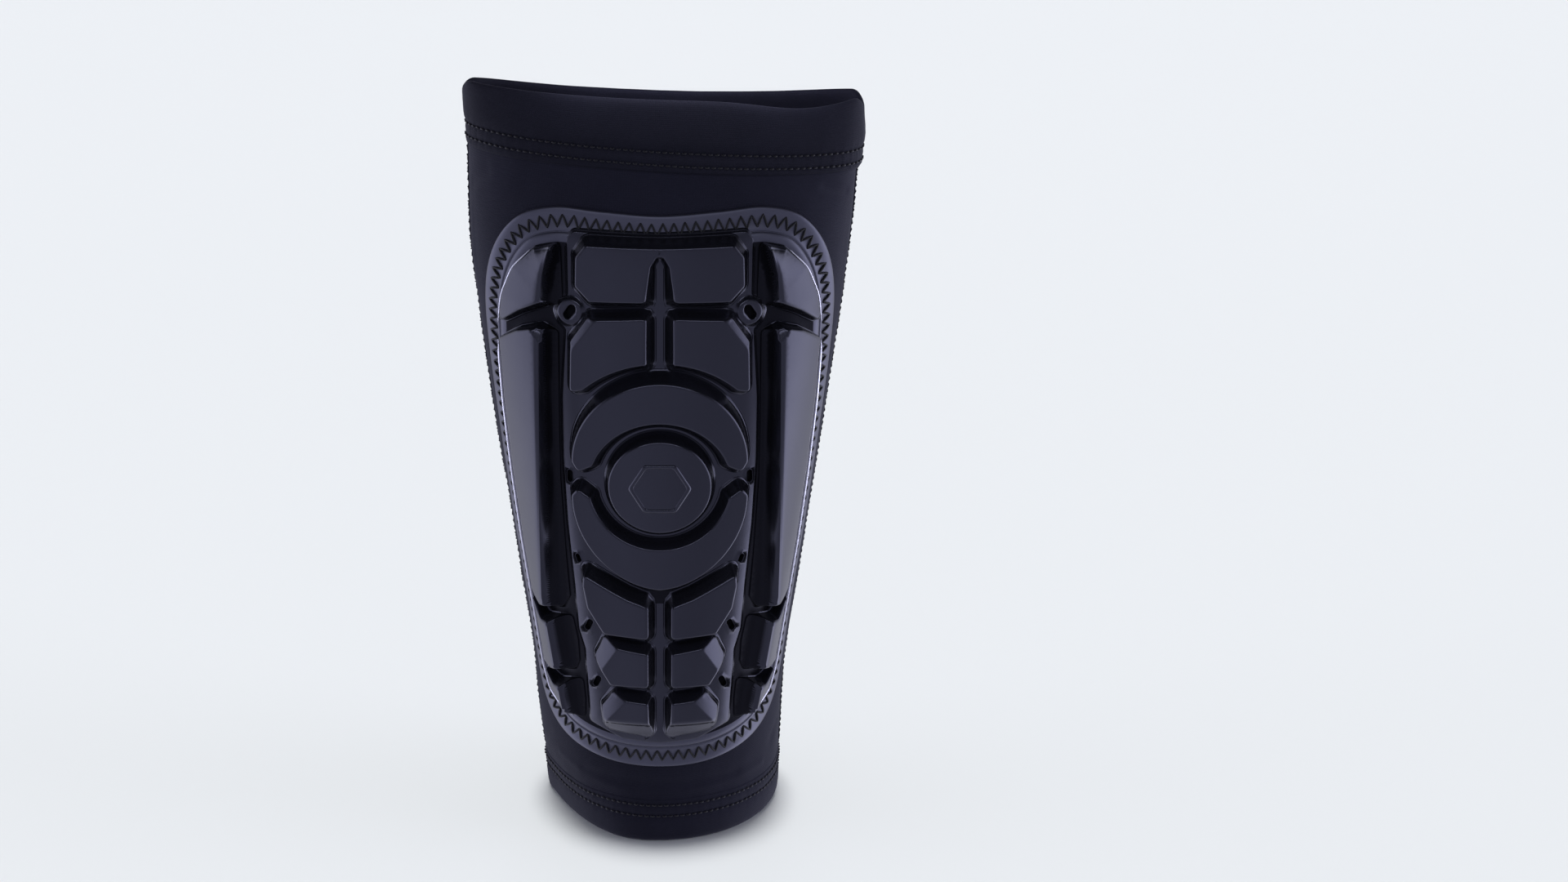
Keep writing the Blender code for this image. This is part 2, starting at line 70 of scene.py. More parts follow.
FLANGE = ((0, 231.8), (20, 233), (36, 233.8), (49, 229.5), (59, 218), (64.6, 202), (65.8, 182),
          (64, 152), (61, 121), (57, 89), (53.4, 63), (48, 48.5), (37, 38.5), (20, 33), (0, 31.5))
SPINE = ((0, 225.2), (28.8, 226.2), (31.2, 223.6), (30.8, 205), (34.2, 203.6), (35.4, 199.8),
         (34.2, 196), (31.6, 193.5), (33.2, 170), (33.2, 148), (32, 124), (29.8, 101), (28.6, 84),
         (26.2, 76.5), (25.4, 62), (24.4, 48), (13, 43), (0, 42))
ROW_1 = ((-3.2, 221.5), (23.6, 222.2), (26.9, 218), (27, 209), (22.4, 204.1), (4.9, 204.1),
         (3.9, 210), (3.0, 215.6), (1.0, 218.7), (-3.2, 219.0))
ROW_3 = ((3.6, 97), (10.5, 99.9), (17.5, 103.7), (24.3, 107.4), (24.5, 103.5), (23, 95.5),
         (17.6, 86.3), (3.6, 85.2))
ROW_4 = ((3.6, 79.4), (17.6, 82), (20.5, 75.6), (15.4, 66.7), (3.6, 66.6))
ROW_5 = ((3.6, 60.2), (14.4, 61.5), (18.2, 56), (17.2, 48.6), (3.6, 46.6))
WING_1 = ((33.2, 222.8), (42, 220.4), (50, 213.4), (54.6, 203.4), (56.4, 192), (46, 197.7),
          (36.6, 201.4), (32.6, 201.6))
WING_2 = ((34.2, 192.8), (40, 195.2), (47.5, 192.8), (56.4, 187.6), (55.8, 165), (53.8, 140),
          (51, 115), (48.2, 95.2), (41, 90.2), (34.5, 90.8), (31.8, 95.8), (33, 112), (34.4, 140),
          (34.4, 168))
WING_3 = ((31, 88.6), (40.6, 86.8), (47.8, 93.8), (45.9, 79), (43.8, 67), (37, 65.8), (30, 67.4),
          (28.6, 71), (29, 79))
WING_4 = ((27.4, 64.6), (36, 62), (43.6, 65.6), (40.6, 56.2), (34.6, 50.8), (26.8, 47.4),
          (26.6, 56))
RIDGE = ((34.6, 224), (37.4, 212), (38.5, 196), (38.5, 96), (34.4, 71), (30.6, 47))
RIDGE_S, RIDGE_Z = np.array(RIDGE[::-1], float).T
WING_RIM = ((32.4, 223.6), (42, 220.8), (50, 213.6), (54.6, 203.6), (56.6, 188), (55.8, 165),
            (53.8, 140), (51, 115), (47.9, 93), (43.7, 66), (40.6, 56.1), (34.6, 50.7), (26.8, 47.2))
WING_FOOT = ((31.8, 224), (32.4, 201), (34.2, 170), (34.2, 140), (32.8, 112), (30.6, 88),
             (28.2, 70), (26.6, 56), (26.4, 46))
# Heights of a band of painted shade across the plate's middle, below the lower crescent; the mesh gets rows
# of points along its edges.
PAINTED_SHADE_BAND = (97.0, 104.2)
DISC_AT = 141.3
DISC_RADIUS = 16.2
WELL_RADIUS = 22.6
VENTS = ((29.8, 199.8, 5.6, 3.0, -35), (30.5, 142, 5.0, 2.4, 0), (27.9, 111.6, 3.6, 2.0, 20),
         (24.4, 86.6, 5.0, 2.4, -25), (21.6, 64.9, 5.0, 2.4, -25))


def station(z, column):
    heights, values = STATIONS[:, 0], STATIONS[:, column]
    slopes = np.gradient(values, heights)
    i = np.clip(np.searchsorted(heights, z) - 1, 0, len(heights) - 2)
    span = heights[i + 1] - heights[i]
    t = (z - heights[i]) / span
    start = values[i] * (1 + 2 * t) + slopes[i] * span * t
    end = values[i + 1] * (3 - 2 * t) - slopes[i + 1] * span * (1 - t)
    return (1 - t) ** 2 * start + t * t * end


def smoothstep(x):
    x = np.clip(x, 0, 1)
    return x * x * (3 - 2 * x)


def signed_power(value, power):
    return np.sign(value) * np.abs(value) ** power


def bezier(a, b, c, t):
    return (1 - t) ** 2 * a + 2 * t * (1 - t) * b + t * t * c


def travelled(points):
    """The distance run along a line at each of its points."""
    return np.concatenate([[0], np.cumsum(np.linalg.norm(np.diff(points, axis=0), axis=1))])


def closed(points):
    return np.vstack([points, points[:1]])


def around(theta, z, h):
    """World points, in metres, at angle theta from the front, h outside the sleeve."""
    theta, z, h = np.broadcast_arrays(np.asarray(theta, float), z, h)
    width = station(z, 1)
    sine, cosine = np.sin(theta), np.cos(theta)
    depth = np.where(cosine >= 0, station(z, 2), station(z, 3))
    normal = np.stack([FULLNESS * depth * sine, -width * signed_power(cosine, 2 - FULLNESS)])
    normal = normal / np.linalg.norm(normal, axis=0)
    x = width * sine + normal[0] * h
    y = -depth * signed_power(cosine, FULLNESS) + normal[1] * h + SEAM_Y
    return np.stack([x, y, z], axis=-1) * MM


def pad_angle(s, z):
    """The angle whose arc length from the front centre is s, at height z."""
    turn = np.linspace(0, math.pi / 2, 161)
    width, depth = station(z, 1), station(z, 2)
    x = width[:, None] * np.sin(turn)
    y = depth[:, None] * np.abs(np.cos(turn)) ** FULLNESS
    steps = np.hypot(np.diff(x), np.diff(y))
    length = np.concatenate([np.zeros((len(s), 1)), np.cumsum(steps, axis=1)], axis=1)
    i = np.clip((length <= np.abs(s)[:, None]).sum(axis=1) - 1, 0, len(turn) - 2)
    row = np.arange(len(s))
    t = (np.abs(s) - length[row, i]) / (length[row, i + 1] - length[row, i])
    return np.sign(s) * (turn[i] + np.clip(t, 0, 1) * (turn[i + 1] - turn[i]))


def wrap(s, z, h):
    """Pad coordinates laid on the front of the sleeve, in metres."""
    s, z, h = (np.array(a, float).ravel() for a in np.broadcast_arrays(s, z, h))
    width, depth = station(z, 1), station(z, 2)
    angle = pad_angle(s, z)
    widen = station(z + 0.5, 1) - station(z - 0.5, 1)
    deepen = station(z + 0.5, 2) - station(z - 0.5, 2)
    sine, cosine = np.sin(angle), np.abs(np.cos(angle))
    normal = np.stack([
        FULLNESS * depth * sine,
        -width * cosine ** (2 - FULLNESS),
        -width * deepen * cosine**2 - FULLNESS * depth * widen * sine**2,
    ], axis=-1)
    normal /= np.linalg.norm(normal, axis=1, keepdims=True)
    face = np.stack([width * sine, -depth * cosine**FULLNESS + SEAM_Y, z], axis=-1)
    return (face + normal * h[:, None]) * MM


# ---- outlines


def mirrored(half):
    return [(-s, z) for s, z in half[::-1]]


def whole(half):
    return list(half) + mirrored(half)[1:-1]


def signed_area(points):
    s, z = points.T
    return np.sum(s * np.roll(z, -1) - np.roll(s, -1) * z)


def counter_clockwise(points):
    points = np.array(points, float)
    return points if signed_area(points) > 0 else points[::-1]


def smooth_closed(points, steps):
    """A closed Catmull-Rom curve through the points."""
    points = np.array(points, float)
    before, after, beyond = (np.roll(points, -k, axis=0) for k in (-1, 1, 2))
    out = []
    for t in np.arange(steps) / steps:
        out.append(0.5 * (2 * points + (after - before) * t
                          + (2 * before - 5 * points + 4 * after - beyond) * t**2
                          + (3 * points - before - 3 * after + beyond) * t**3))
    return np.stack(out, axis=1).reshape(-1, 2)


def outward(points):
    """Unit normals of a counter-clockwise outline, one a point."""
    along = np.roll(points, -1, axis=0) - np.roll(points, 1, axis=0)
    along /= np.linalg.norm(along, axis=1, keepdims=True) + 1e-12
    return np.stack([along[:, 1], -along[:, 0]], axis=1)


def round_corners(points, radius):
    """The outline with each real corner turned into an arc."""
    points = counter_clockwise(points)
    out = []
    for i, point in enumerate(points):
        back, on = points[i - 1] - point, points[(i + 1) % len(points)] - point
        a, b = np.linalg.norm(back), np.linalg.norm(on)
        back, on = back / a, on / b
        bend = math.pi - math.acos(np.clip(np.dot(back, on), -1, 1))
        if bend < math.radians(14):
            out.append(point)
            continue
        cut = min(radius * math.tan(bend / 2), 0.42 * a, 0.42 * b)
        start, end = point + back * cut, point + on * cut
        count = max(3, int(math.degrees(bend) / 13))
        for t in np.linspace(0, 1, count + 1):
            out.append(bezier(start, point, end, t))
    return np.array(out)


def resample(points, step):
    """The closed outline, with points no further apart than step."""
    out = []
    for a, b in zip(points, np.roll(points, -1, axis=0)):
        gap = np.linalg.norm(b - a)
        if gap < 0.02:
            continue
        count = max(1, math.ceil(gap / step))
        out += [a + (b - a) * k / count for k in range(count)]
    return np.array(out)


def even(points, count):
    """The closed outline at this many even steps."""
    line = closed(points)
    length = travelled(line)
    at = np.arange(count) * length[-1] / count
    return np.stack([np.interp(at, length, line[:, k]) for k in (0, 1)], axis=1)


def arc(centre, radius, start, end, steps):
    turn = np.radians(np.linspace(start, end, steps + 1))
    return [(radius * math.cos(a), centre + radius * math.sin(a)) for a in turn]


def lower_arc(steps):
    out = []
    for a in np.radians(np.linspace(0, 180, steps + 1)):
        share = 1 - abs(math.cos(a)) ** 1.7
        out.append((28.0 * math.cos(a), 137.0 - 33.0 * math.sqrt(share)))
    return out


def row_2():
    edge = arc(147.6, 36.4, 83, 45, 14)
    return [(4.4, 199), (22.8, 198.2), (28.4, 190), (28.6, 173.6)] + edge[-2::-1]


def upper_crescent():
    inner = arc(DISC_AT, WELL_RADIUS, 162, 18, 34)
    return arc(149.3, 28.0, 0, 180, 44) + [(-26, 145.8)] + inner + [(26, 145.8)]


def lower_crescent():
    inner = arc(DISC_AT, WELL_RADIUS, 348, 192, 34)
    return [(26, 139.4)] + inner + [(-26, 139.4)] + lower_arc(52)[::-1]


def inside(outline, s, z):
    """Whether each point is inside a closed outline."""
    hit = np.zeros(np.shape(s), bool)
    for (s0, z0), (s1, z1) in zip(outline, np.roll(outline, -1, axis=0)):
        crosses = (z0 > z) != (z1 > z)
        with np.errstate(divide="ignore", invalid="ignore"):
            where = (s1 - s0) * (z - z0) / (z1 - z0) + s0
        hit ^= crosses & (s < where)
    return hit


def distance_to(line, s, z):
    best = np.full(np.shape(s), np.inf)
    for (s0, z0), (s1, z1) in zip(line[:-1], line[1:]):
        run = (s1 - s0) ** 2 + (z1 - z0) ** 2
        t = np.clip(((s - s0) * (s1 - s0) + (z - z0) * (z1 - z0)) / run, 0, 1)
        best = np.minimum(best, np.hypot(s - s0 - t * (s1 - s0), z - z0 - t * (z1 - z0)))
    return best


# ---- heights of the pads' faces


def wing_face(s, z):
    """A ridge that falls gently to the outer edge and steeply to the channel."""
    s = np.abs(s)
    outside = s > np.interp(z, RIDGE_Z, RIDGE_S)
    to_rim, to_foot = distance_to(WING_RIM, s, z), distance_to(WING_FOOT, s, z)
    to_ridge = distance_to(RIDGE, s, z)
    outer = WING_EDGE + (WING_RIDGE - WING_EDGE) * to_rim / (to_rim + to_ridge + 1e-9)
    share = to_foot / (to_foot + to_ridge + 1e-9)
    inner = FLOOR + 0.5 + (WING_RIDGE - FLOOR - 0.5) * share**3.6
    round_off = 0.5 * np.exp(-((to_ridge / 1.1) ** 2))
    face = np.where(outside, outer, inner) - round_off
    past = (40.4 - s) * 0.72 + (z - 190.2) * 0.69
    recess = WING_RIDGE - 0.62 * past
    here = (z > 184) & (z < 197) & (past > 0)
    return np.where(here, np.minimum(face, np.maximum(recess, FLOOR + 0.6)), face)


FACETS = {  # a pod's sloping corner: a point on its crease, the way it falls, its fall a millimetre
    "row_2": ((23.6, 193.6), (0.80, 0.60), 0.50),
    "row_4": ((15.6, 76.6), (0.86, 0.51), 0.62),
    "row_5": ((13.4, 56.6), (0.80, 0.60), 0.55),
}


def facet(s, z, name, top):
    """The face, cut by the pod's corner facet."""
    at, way, drop = FACETS[name]
    along = (np.abs(s) - at[0]) * way[0] + (z - at[1]) * way[1]
    return top - drop * (np.sqrt(along * along + 0.04) + along) / 2


def crease_lines(name, side):
    """Rows of points beside a facet's crease, so that the mesh follows it."""
    if name not in FACETS:
        return []
    at, way, _ = FACETS[name]
    run = np.arange(-12, 12, 0.6)
    return [np.stack([side * (at[0] + way[0] * k - way[1] * run), at[1] + way[1] * k + way[0] * run], axis=1)
            for k in (-0.45, 0.0, 0.45)]


CROWNS = {  # a pod's crown: its centre, half its size, its rise
    "row_1": ((15, 213), (14, 11), 0.25), "row_2": ((16, 186), (14, 14), 0.25),
    "row_3": ((13, 95), (12, 12), 0.2), "row_4": ((11, 74), (10, 9), 0.2), "row_5": ((10, 54), (9, 8), 0.15)}


def row_face(name):
    (s0, z0), (wide, tall), rise = CROWNS[name]

    def face(s, z):
        u, v = (np.abs(s) - s0) / wide, (z - z0) / tall
        top = POD_TOP + rise * (1 - np.clip(u, -1, 1) ** 2) * (1 - np.clip(v, -1, 1) ** 2)
        if name == "row_5":
            top = top - 0.05 * np.maximum(60 - z, 0)
            top = top - 0.55 * smoothstep((53.5 - z) / 3) * np.maximum(53.5 - z, 0)
        return facet(s, z, name, top) if name in FACETS else top

    return face


def crescent_face(s, z):
    return POD_TOP + 0 * s


def disc_face(s, z):
    out = np.hypot(s, z - DISC_AT) / DISC_RADIUS
    return POD_TOP - 0.2 + 0.7 * (1 - np.clip(out, 0, 1) ** 2)


# ---- Blender helpers


def piece(name, points, faces, mat, uv=None, smooth=True, normals=None):
    mesh = bpy.data.meshes.new(name)
    mesh.from_pydata(np.asarray(points).tolist(), [], [tuple(int(i) for i in f) for f in faces])
    mesh.validate()
    mesh.polygons.foreach_set("use_smooth", np.full(len(mesh.polygons), smooth))
    if uv is not None:
        layer = mesh.uv_layers.new(name="UVMap")
        loops = np.empty(len(mesh.loops), np.int32)
        mesh.loops.foreach_get("vertex_index", loops)
        layer.data.foreach_set("uv", np.asarray(uv, np.float32)[loops].ravel())
    if normals is not None:
        mesh.normals_split_custom_set_from_vertices(np.asarray(normals).tolist())
    mesh.materials.append(mat)
    obj = bpy.data.objects.new(name, mesh)
    bpy.context.scene.collection.objects.link(obj)
    return obj


def ring_faces(rows, flip=False):
    """Quads between successive closed rows of vertex numbers."""
    out = []
    for low, high in zip(rows[:-1], rows[1:]):
        n = len(low)
        for i in range(n):
            j = (i + 1) % n
            quad = (low[i], low[j], high[j], high[i])
            out.append(quad[::-1] if flip else quad)
    return out


def vertex_normals(points, faces):
    """Area-weighted normals."""
    points = np.asarray(points)
    out = np.zeros_like(points)
    for size in (3, 4):
        some = np.array([f for f in faces if len(f) == size], int)
        if len(some) == 0:
            continue
        corner = points[some]
        if size == 3:
            face = np.cross(corner[:, 1] - corner[:, 0], corner[:, 2] - corner[:, 0])
        else:
            face = np.cross(corner[:, 2] - corner[:, 0], corner[:, 3] - corner[:, 1])
        for k in range(size):
            np.add.at(out, some[:, k], face)
    return out / (np.linalg.norm(out, axis=1, keepdims=True) + 1e-20)


def surface_normals(s, z, height):
    """Normals of the face h = height(s, z) once it's laid on the sleeve."""
    step = 0.05
    ds = wrap(s + step, z, height(s + step, z)) - wrap(s - step, z, height(s - step, z))
    dz = wrap(s, z + step, height(s, z + step)) - wrap(s, z - step, height(s, z - step))
    normal = np.cross(ds, dz)
    return normal / np.linalg.norm(normal, axis=1, keepdims=True)


def off(outline, points):
    """How far each point is from a closed outline."""
    return distance_to(closed(outline), *points.T)


def hex_points(outline, spacing, margin):
    """Points on a staggered grid inside an outline, clear of its edge."""
    low, high = outline.min(axis=0), outline.max(axis=0)
    out = []
    for k, z in enumerate(np.arange(low[1], high[1], spacing * 0.866)):
        s = np.arange(low[0] + (k % 2) * spacing / 2, high[0], spacing)
        out.append(np.stack([s, np.full(len(s), z)], axis=1))
    grid = np.vstack(out)
    return grid[inside(outline, *grid.T) & (off(outline, grid) > margin)]


def fill(outline, extra, holes=()):
    """Triangles inside an outline, through the extra points: (points, faces, each given point's number)."""
    coords, edges = [], []
    for loop in (outline, *holes):
        first, n = len(coords), len(loop)
        edges += [(first + i, first + (i + 1) % n) for i in range(n)]
        coords += [tuple(p) for p in loop]
    coords += [tuple(p) for p in extra]
    made = delaunay_2d_cdt([Vector(c) for c in coords], edges, [], 0, 1e-5)
    points = np.array([v[:] for v in made[0]])
    faces = np.array(made[2], int)
    middle = points[faces].mean(axis=1)
    keep = inside(outline, *middle.T)
    for hole in holes:
        keep &= ~inside(hole, *middle.T)
    faces = faces[keep]
    corner = points[faces]
    a, b = corner[:, 1] - corner[:, 0], corner[:, 2] - corner[:, 0]
    wrong = a[:, 0] * b[:, 1] - a[:, 1] * b[:, 0] < 0
    faces[wrong] = faces[wrong][:, ::-1]
    source = np.full(len(coords), -1)
    for new, olds in enumerate(made[3]):
        source[olds] = new
    return points, faces, source


def capped(rows, filled, height):
    """Rings of (places, level) with the filled top: (points in pad coordinates, faces, the top's numbers)."""
    points, faces, source = filled
    count = len(rows[0][0])
    flat = np.vstack([np.column_stack([place, np.broadcast_to(level, count)]) for place, level in rows])
    index = np.full(len(points), -1)
    index[source[:count]] = len(flat) - count + np.arange(count)
    free = index < 0
    index[free] = len(flat) + np.arange(free.sum())
    top = points[free]
    flat = np.vstack([flat, np.column_stack([top, np.broadcast_to(height(*top.T), len(top))])])
    every = ring_faces([range(k * count, (k + 1) * count) for k in range(len(rows))])
    return flat, every + [tuple(index[f]) for f in faces], index


def middles(flat, faces):
    return np.array([flat[list(f)].mean(axis=0) for f in faces])


def paint_shade(obj, which):
    """Gives these faces a near-black, dull film: painted shade, for channels, gaps and walls that are dark
    from occlusion.
    """
    obj.data.materials.append(PAINTED_SHADE_FILM)
    obj.data.polygons.foreach_set("material_index", which.astype(np.int32))


# ---- materials


def node(tree, kind, **settings):
    made = tree.nodes.new(kind)
    for key, value in settings.items():
        if key.startswith("in_"):
            made.inputs[int(key[3:])].default_value = value
        else:
            setattr(made, key, value)
    return made


def shader(name, roughness, specular):
    mat = bpy.data.materials.new(name)
    mat.use_nodes = True
    tree = mat.node_tree
    bsdf = tree.nodes["Principled BSDF"]
    bsdf.inputs["Roughness"].default_value = roughness
    bsdf.inputs["Specular IOR Level"].default_value = specular
    return mat, tree, bsdf


def ramp(tree, value, low, high, colours):
    """A value turned into a blend of two colours."""
    made = node(tree, "ShaderNodeValToRGB")
    for element, position, colour in zip(made.color_ramp.elements, (low, high), colours):
        element.position = position
        element.color = (*colour, 1)
    tree.links.new(value, made.inputs["Fac"])
    return made.outputs["Color"]


def noise_at(tree, place, scale, detail, roughness):
    made = node(tree, "ShaderNodeTexNoise", in_2=scale, in_3=detail, in_4=roughness)
    tree.links.new(place.outputs["Object"], made.inputs["Vector"])
    return made.outputs["Fac"]


def bump(tree, height, strength, distance, below=None):
    made = node(tree, "ShaderNodeBump", in_0=strength, in_1=distance)
    tree.links.new(height, made.inputs["Height"])
    if below:
        tree.links.new(below, made.inputs["Normal"])
    return made.outputs["Normal"]


def maths(tree, operation, *values):
    """A maths node's result; each value is a number or a socket."""
    made = node(tree, "ShaderNodeMath", operation=operation)
    for socket, value in zip(made.inputs, values):
        if isinstance(value, (int, float)):
            socket.default_value = value
        else:
            tree.links.new(value, socket)
    return made.outputs[0]


COOL_TINT = (0.70, 0.71, 1.0, 1)


def film_material(name, dark, light, rough_low, rough_high, specular):
    """Satin moulded film: faint mottling, fine grain, slightly uneven gloss."""
    mat, tree, bsdf = shader(name, 0.35, specular)
    bsdf.inputs["Specular Tint"].default_value = COOL_TINT
    link = tree.links.new
    place = node(tree, "ShaderNodeTexCoord")
    mottle = noise_at(tree, place, 28.0, 4.0, 0.55)
    link(ramp(tree, mottle, 0.3, 0.75, (dark, light)), bsdf.inputs["Base Color"])
    gloss = node(tree, "ShaderNodeMapRange", in_1=0.3, in_2=0.7, in_3=rough_low, in_4=rough_high)
    link(noise_at(tree, place, 90.0, 5.0, 0.6), gloss.inputs["Value"])
    link(gloss.outputs["Result"], bsdf.inputs["Roughness"])
    wobble = bump(tree, noise_at(tree, place, 160.0, 2.0, 0.5), 0.10, 0.0004)
    link(bump(tree, noise_at(tree, place, 2600.0, 2.0, 0.5), 0.12, 0.00004, wobble), bsdf.inputs["Normal"])
    return mat


def knit_material(name, dark, light, wale=0.85, course=0.62, strength=0.35):
    """Fine warp knit: rows of small loops from the piece's own UVs, in millimetres."""
    mat, tree, bsdf = shader(name, 0.75, 0.12)
    bsdf.inputs["Sheen Weight"].default_value = 0.03
    bsdf.inputs["Specular Tint"].default_value = COOL_TINT
    bsdf.inputs["Sheen Roughness"].default_value = 0.45
    bsdf.inputs["Sheen Tint"].default_value = (0.62, 0.62, 0.85, 1)
    link = tree.links.new
    place = node(tree, "ShaderNodeTexCoord")
    split = node(tree, "ShaderNodeSeparateXYZ")
    link(place.outputs["UV"], split.inputs[0])
    across = maths(tree, "SINE", maths(tree, "MULTIPLY", split.outputs["X"], 2 * math.pi / wale))
    ribs = maths(tree, "ABSOLUTE", across)
    rise = maths(tree, "MULTIPLY", split.outputs["Y"], 2 * math.pi / course)
    loops = maths(tree, "SINE", maths(tree, "ADD", rise, maths(tree, "MULTIPLY", ribs, 1.9)))
    height = maths(tree, "ADD", maths(tree, "MULTIPLY", loops, 0.5), ribs)
    blotch = noise_at(tree, place, 22.0, 5.0, 0.6)
    yarn = noise_at(tree, place, 1500.0, 2.0, 0.6)
    mixed = maths(tree, "ADD", maths(tree, "MULTIPLY", blotch, 0.8), maths(tree, "MULTIPLY", yarn, 0.2))
    link(ramp(tree, mixed, 0.32, 0.72, (dark, light)), bsdf.inputs["Base Color"])
    relief = bump(tree, height, strength, 0.00012)
    link(bump(tree, yarn, 0.25, 0.00008, relief), bsdf.inputs["Normal"])
    return mat


def thread_material(name, dark, light):
    """Twisted polyester thread: fine slanting plies."""
    mat, tree, bsdf = shader(name, 0.55, 0.2)
    bsdf.inputs["Sheen Weight"].default_value = 0.03
    link = tree.links.new
    place = node(tree, "ShaderNodeTexCoord")
    plies = node(tree, "ShaderNodeTexWave", in_1=900.0, in_2=1.5, in_3=1.0, bands_direction="DIAGONAL")
    link(place.outputs["Object"], plies.inputs["Vector"])
    link(ramp(tree, plies.outputs["Fac"], 0.2, 0.9, (dark, light)), bsdf.inputs["Base Color"])
    link(bump(tree, plies.outputs["Fac"], 0.4, 0.0001), bsdf.inputs["Normal"])
    return mat


def paper_material(name, colour, roughness):
    """Matt paper with a trace of cloudiness."""
    mat, tree, bsdf = shader(name, roughness, 0.2)
    place = node(tree, "ShaderNodeTexCoord")
    cloud = node(tree, "ShaderNodeTexNoise", in_2=0.7, in_3=2.0)
    tree.links.new(place.outputs["Object"], cloud.inputs["Vector"])
    tint = ramp(tree, cloud.outputs["Fac"], 0.3, 0.7, (colour, tuple(c * 1.01 for c in colour)))
    tree.links.new(tint, bsdf.inputs["Base Color"])
    return mat


# Each film: its dark and light colours, its lowest and highest roughness, its specular level.
FILM = film_material("moulded_film", (0.0033, 0.0034, 0.0049), (0.0053, 0.0054, 0.0077), 0.19, 0.25, 0.43)
FLANGE_FILM = film_material("flange_film", (0.0075, 0.0075, 0.0115), (0.012, 0.012, 0.018), 0.38, 0.48, 0.80)
# Near-black and dull: painted shade for the channels, gaps and walls that are dark from occlusion.
PAINTED_SHADE_FILM = film_material("channel_film", (0.002, 0.002, 0.003), (0.003, 0.003, 0.0044), 0.24, 0.34, 0.10)
# Far lighter than the rest of the film: the lip's colour is a painted highlight.
LIP_HIGHLIGHT_FILM = film_material("lip_film", (0.10, 0.10, 0.125), (0.14, 0.14, 0.17), 0.28, 0.34, 0.90)
KNIT = knit_material("sleeve_knit", (0.0030, 0.0030, 0.0062), (0.0056, 0.0056, 0.0112))
CUFF_KNIT = knit_material("cuff_knit", (0.0022, 0.0022, 0.0042), (0.0042, 0.0042, 0.0080))
THREAD = thread_material("black_thread", (0.0010, 0.0010, 0.0022), (0.0036, 0.0036, 0.0068))
HEM_THREAD = thread_material("hem_thread", (0.0022, 0.0022, 0.0040), (0.0080, 0.0080, 0.0130))
BACKING = knit_material("backing_cloth", (0.0020, 0.0020, 0.0026), (0.0035, 0.0035, 0.0042))
ELASTIC = knit_material("ribbed_elastic", (0.0060, 0.0060, 0.0070), (0.0150, 0.0150, 0.0170), 1.6, 0.9, 0.6)


# ---- the pad


def slope_at(s, z, name, up):
    """How far a pod's wall leans out for each millimetre down; up is how far the wall faces up."""
    base = 0.32 + 0.22 * np.clip(up, 0, 1)
    if name.startswith("upper_crescent") or name.startswith("row_3"):
        base = 0.32 + 0.42 * np.clip(up, 0, 1)
    if name.startswith("wing"):
        base = 0.14 + 0.16 * np.clip(-up, 0, 1)
    if name.startswith("row"):
        centre = np.abs(s) < 5.0
        base = np.where(centre, (np.abs(s) - 1.8) / (POD_TOP - PLATE), base)
        base = np.maximum(base, 0.12)
        top = smoothstep((z - 218.6) / 2.0) * np.clip(up, 0, 1)
        base = base + (0.5 - base) * top
    return base


def pod(name, outline, face, floor, reference, edge=0.85, foot=0.7, corner=1.5, spacing=1.3,
        lines=(), step=0.75):
    """A moulded pod: a skirt under the web, a filleted foot, a drafted wall, a rounded edge, a face."""
    rim = resample(round_corners(outline, corner), step)
    normal = outward(rim)
    slope = slope_at(rim[:, 0], rim[:, 1], name, normal[:, 1])
    height = face(rim[:, 0], rim[:, 1])
    for _ in range(12):
        at = rim + normal * (slope * (reference - height))[:, None]
        height = 0.5 * height + 0.5 * face(at[:, 0], at[:, 1])
    out = rim + normal * (slope * (reference - PLATE))[:, None]
    base = floor(out[:, 0], out[:, 1])
    height = np.maximum(height, base + 0.35)

    def wall(level):
        return rim + normal * (slope * (reference - level))[:, None]

    soft = np.minimum(edge, 0.45 * (height - base))
    lower, corner_at = height - soft, wall(height)
    top_at = corner_at - normal * soft[:, None]
    top_height = np.minimum(face(top_at[:, 0], top_at[:, 1]), height + 0.3)
    bowl = np.minimum(foot, 0.45 * (height - base))
    rows = [(wall(base) + normal * (bowl + 0.5)[:, None], base - 0.9)]
    start, control, end = wall(base + bowl), wall(base), wall(base) + normal * bowl[:, None]
    for t in (0.0, 0.3, 0.6, 1.0):
        rows.append((bezier(end, control, start, t), bezier(base, base, base + bowl, t)))
    for t in (0.33, 0.66):
        level = base + bowl + t * (lower - base - bowl)
        rows.append((wall(level), level))
    for t in (0.0, 0.2, 0.4, 0.6, 0.8, 1.0):
        rows.append((bezier(wall(lower), corner_at, top_at, t), bezier(lower, height, top_height, t)))
    inner = rows[-1][0]
    extra = [hex_points(inner, spacing, 0.45 * spacing)]
    for line in lines:
        keep = inside(inner, *line.T) & (off(inner, line) > 0.25)
        extra.append(line[keep])
    if len(lines):
        path, grid = np.vstack(extra[1:]), extra[0]
        if len(path):
            far = np.array([np.min(np.hypot(*(path - p).T)) for p in grid])
            extra[0] = grid[far > 0.45]
    flat, every, _ = capped(rows, fill(inner, np.vstack(extra)), face)
    world = wrap(*flat.T)
    normals = vertex_normals(world, every)
    count = len(rim)
    cap = np.arange(len(world)) >= len(rows) * count
    normals[cap] = surface_normals(flat[cap, 0], flat[cap, 1], face)
    every.append(tuple(range(count))[::-1])
    return world, every, normals, flat


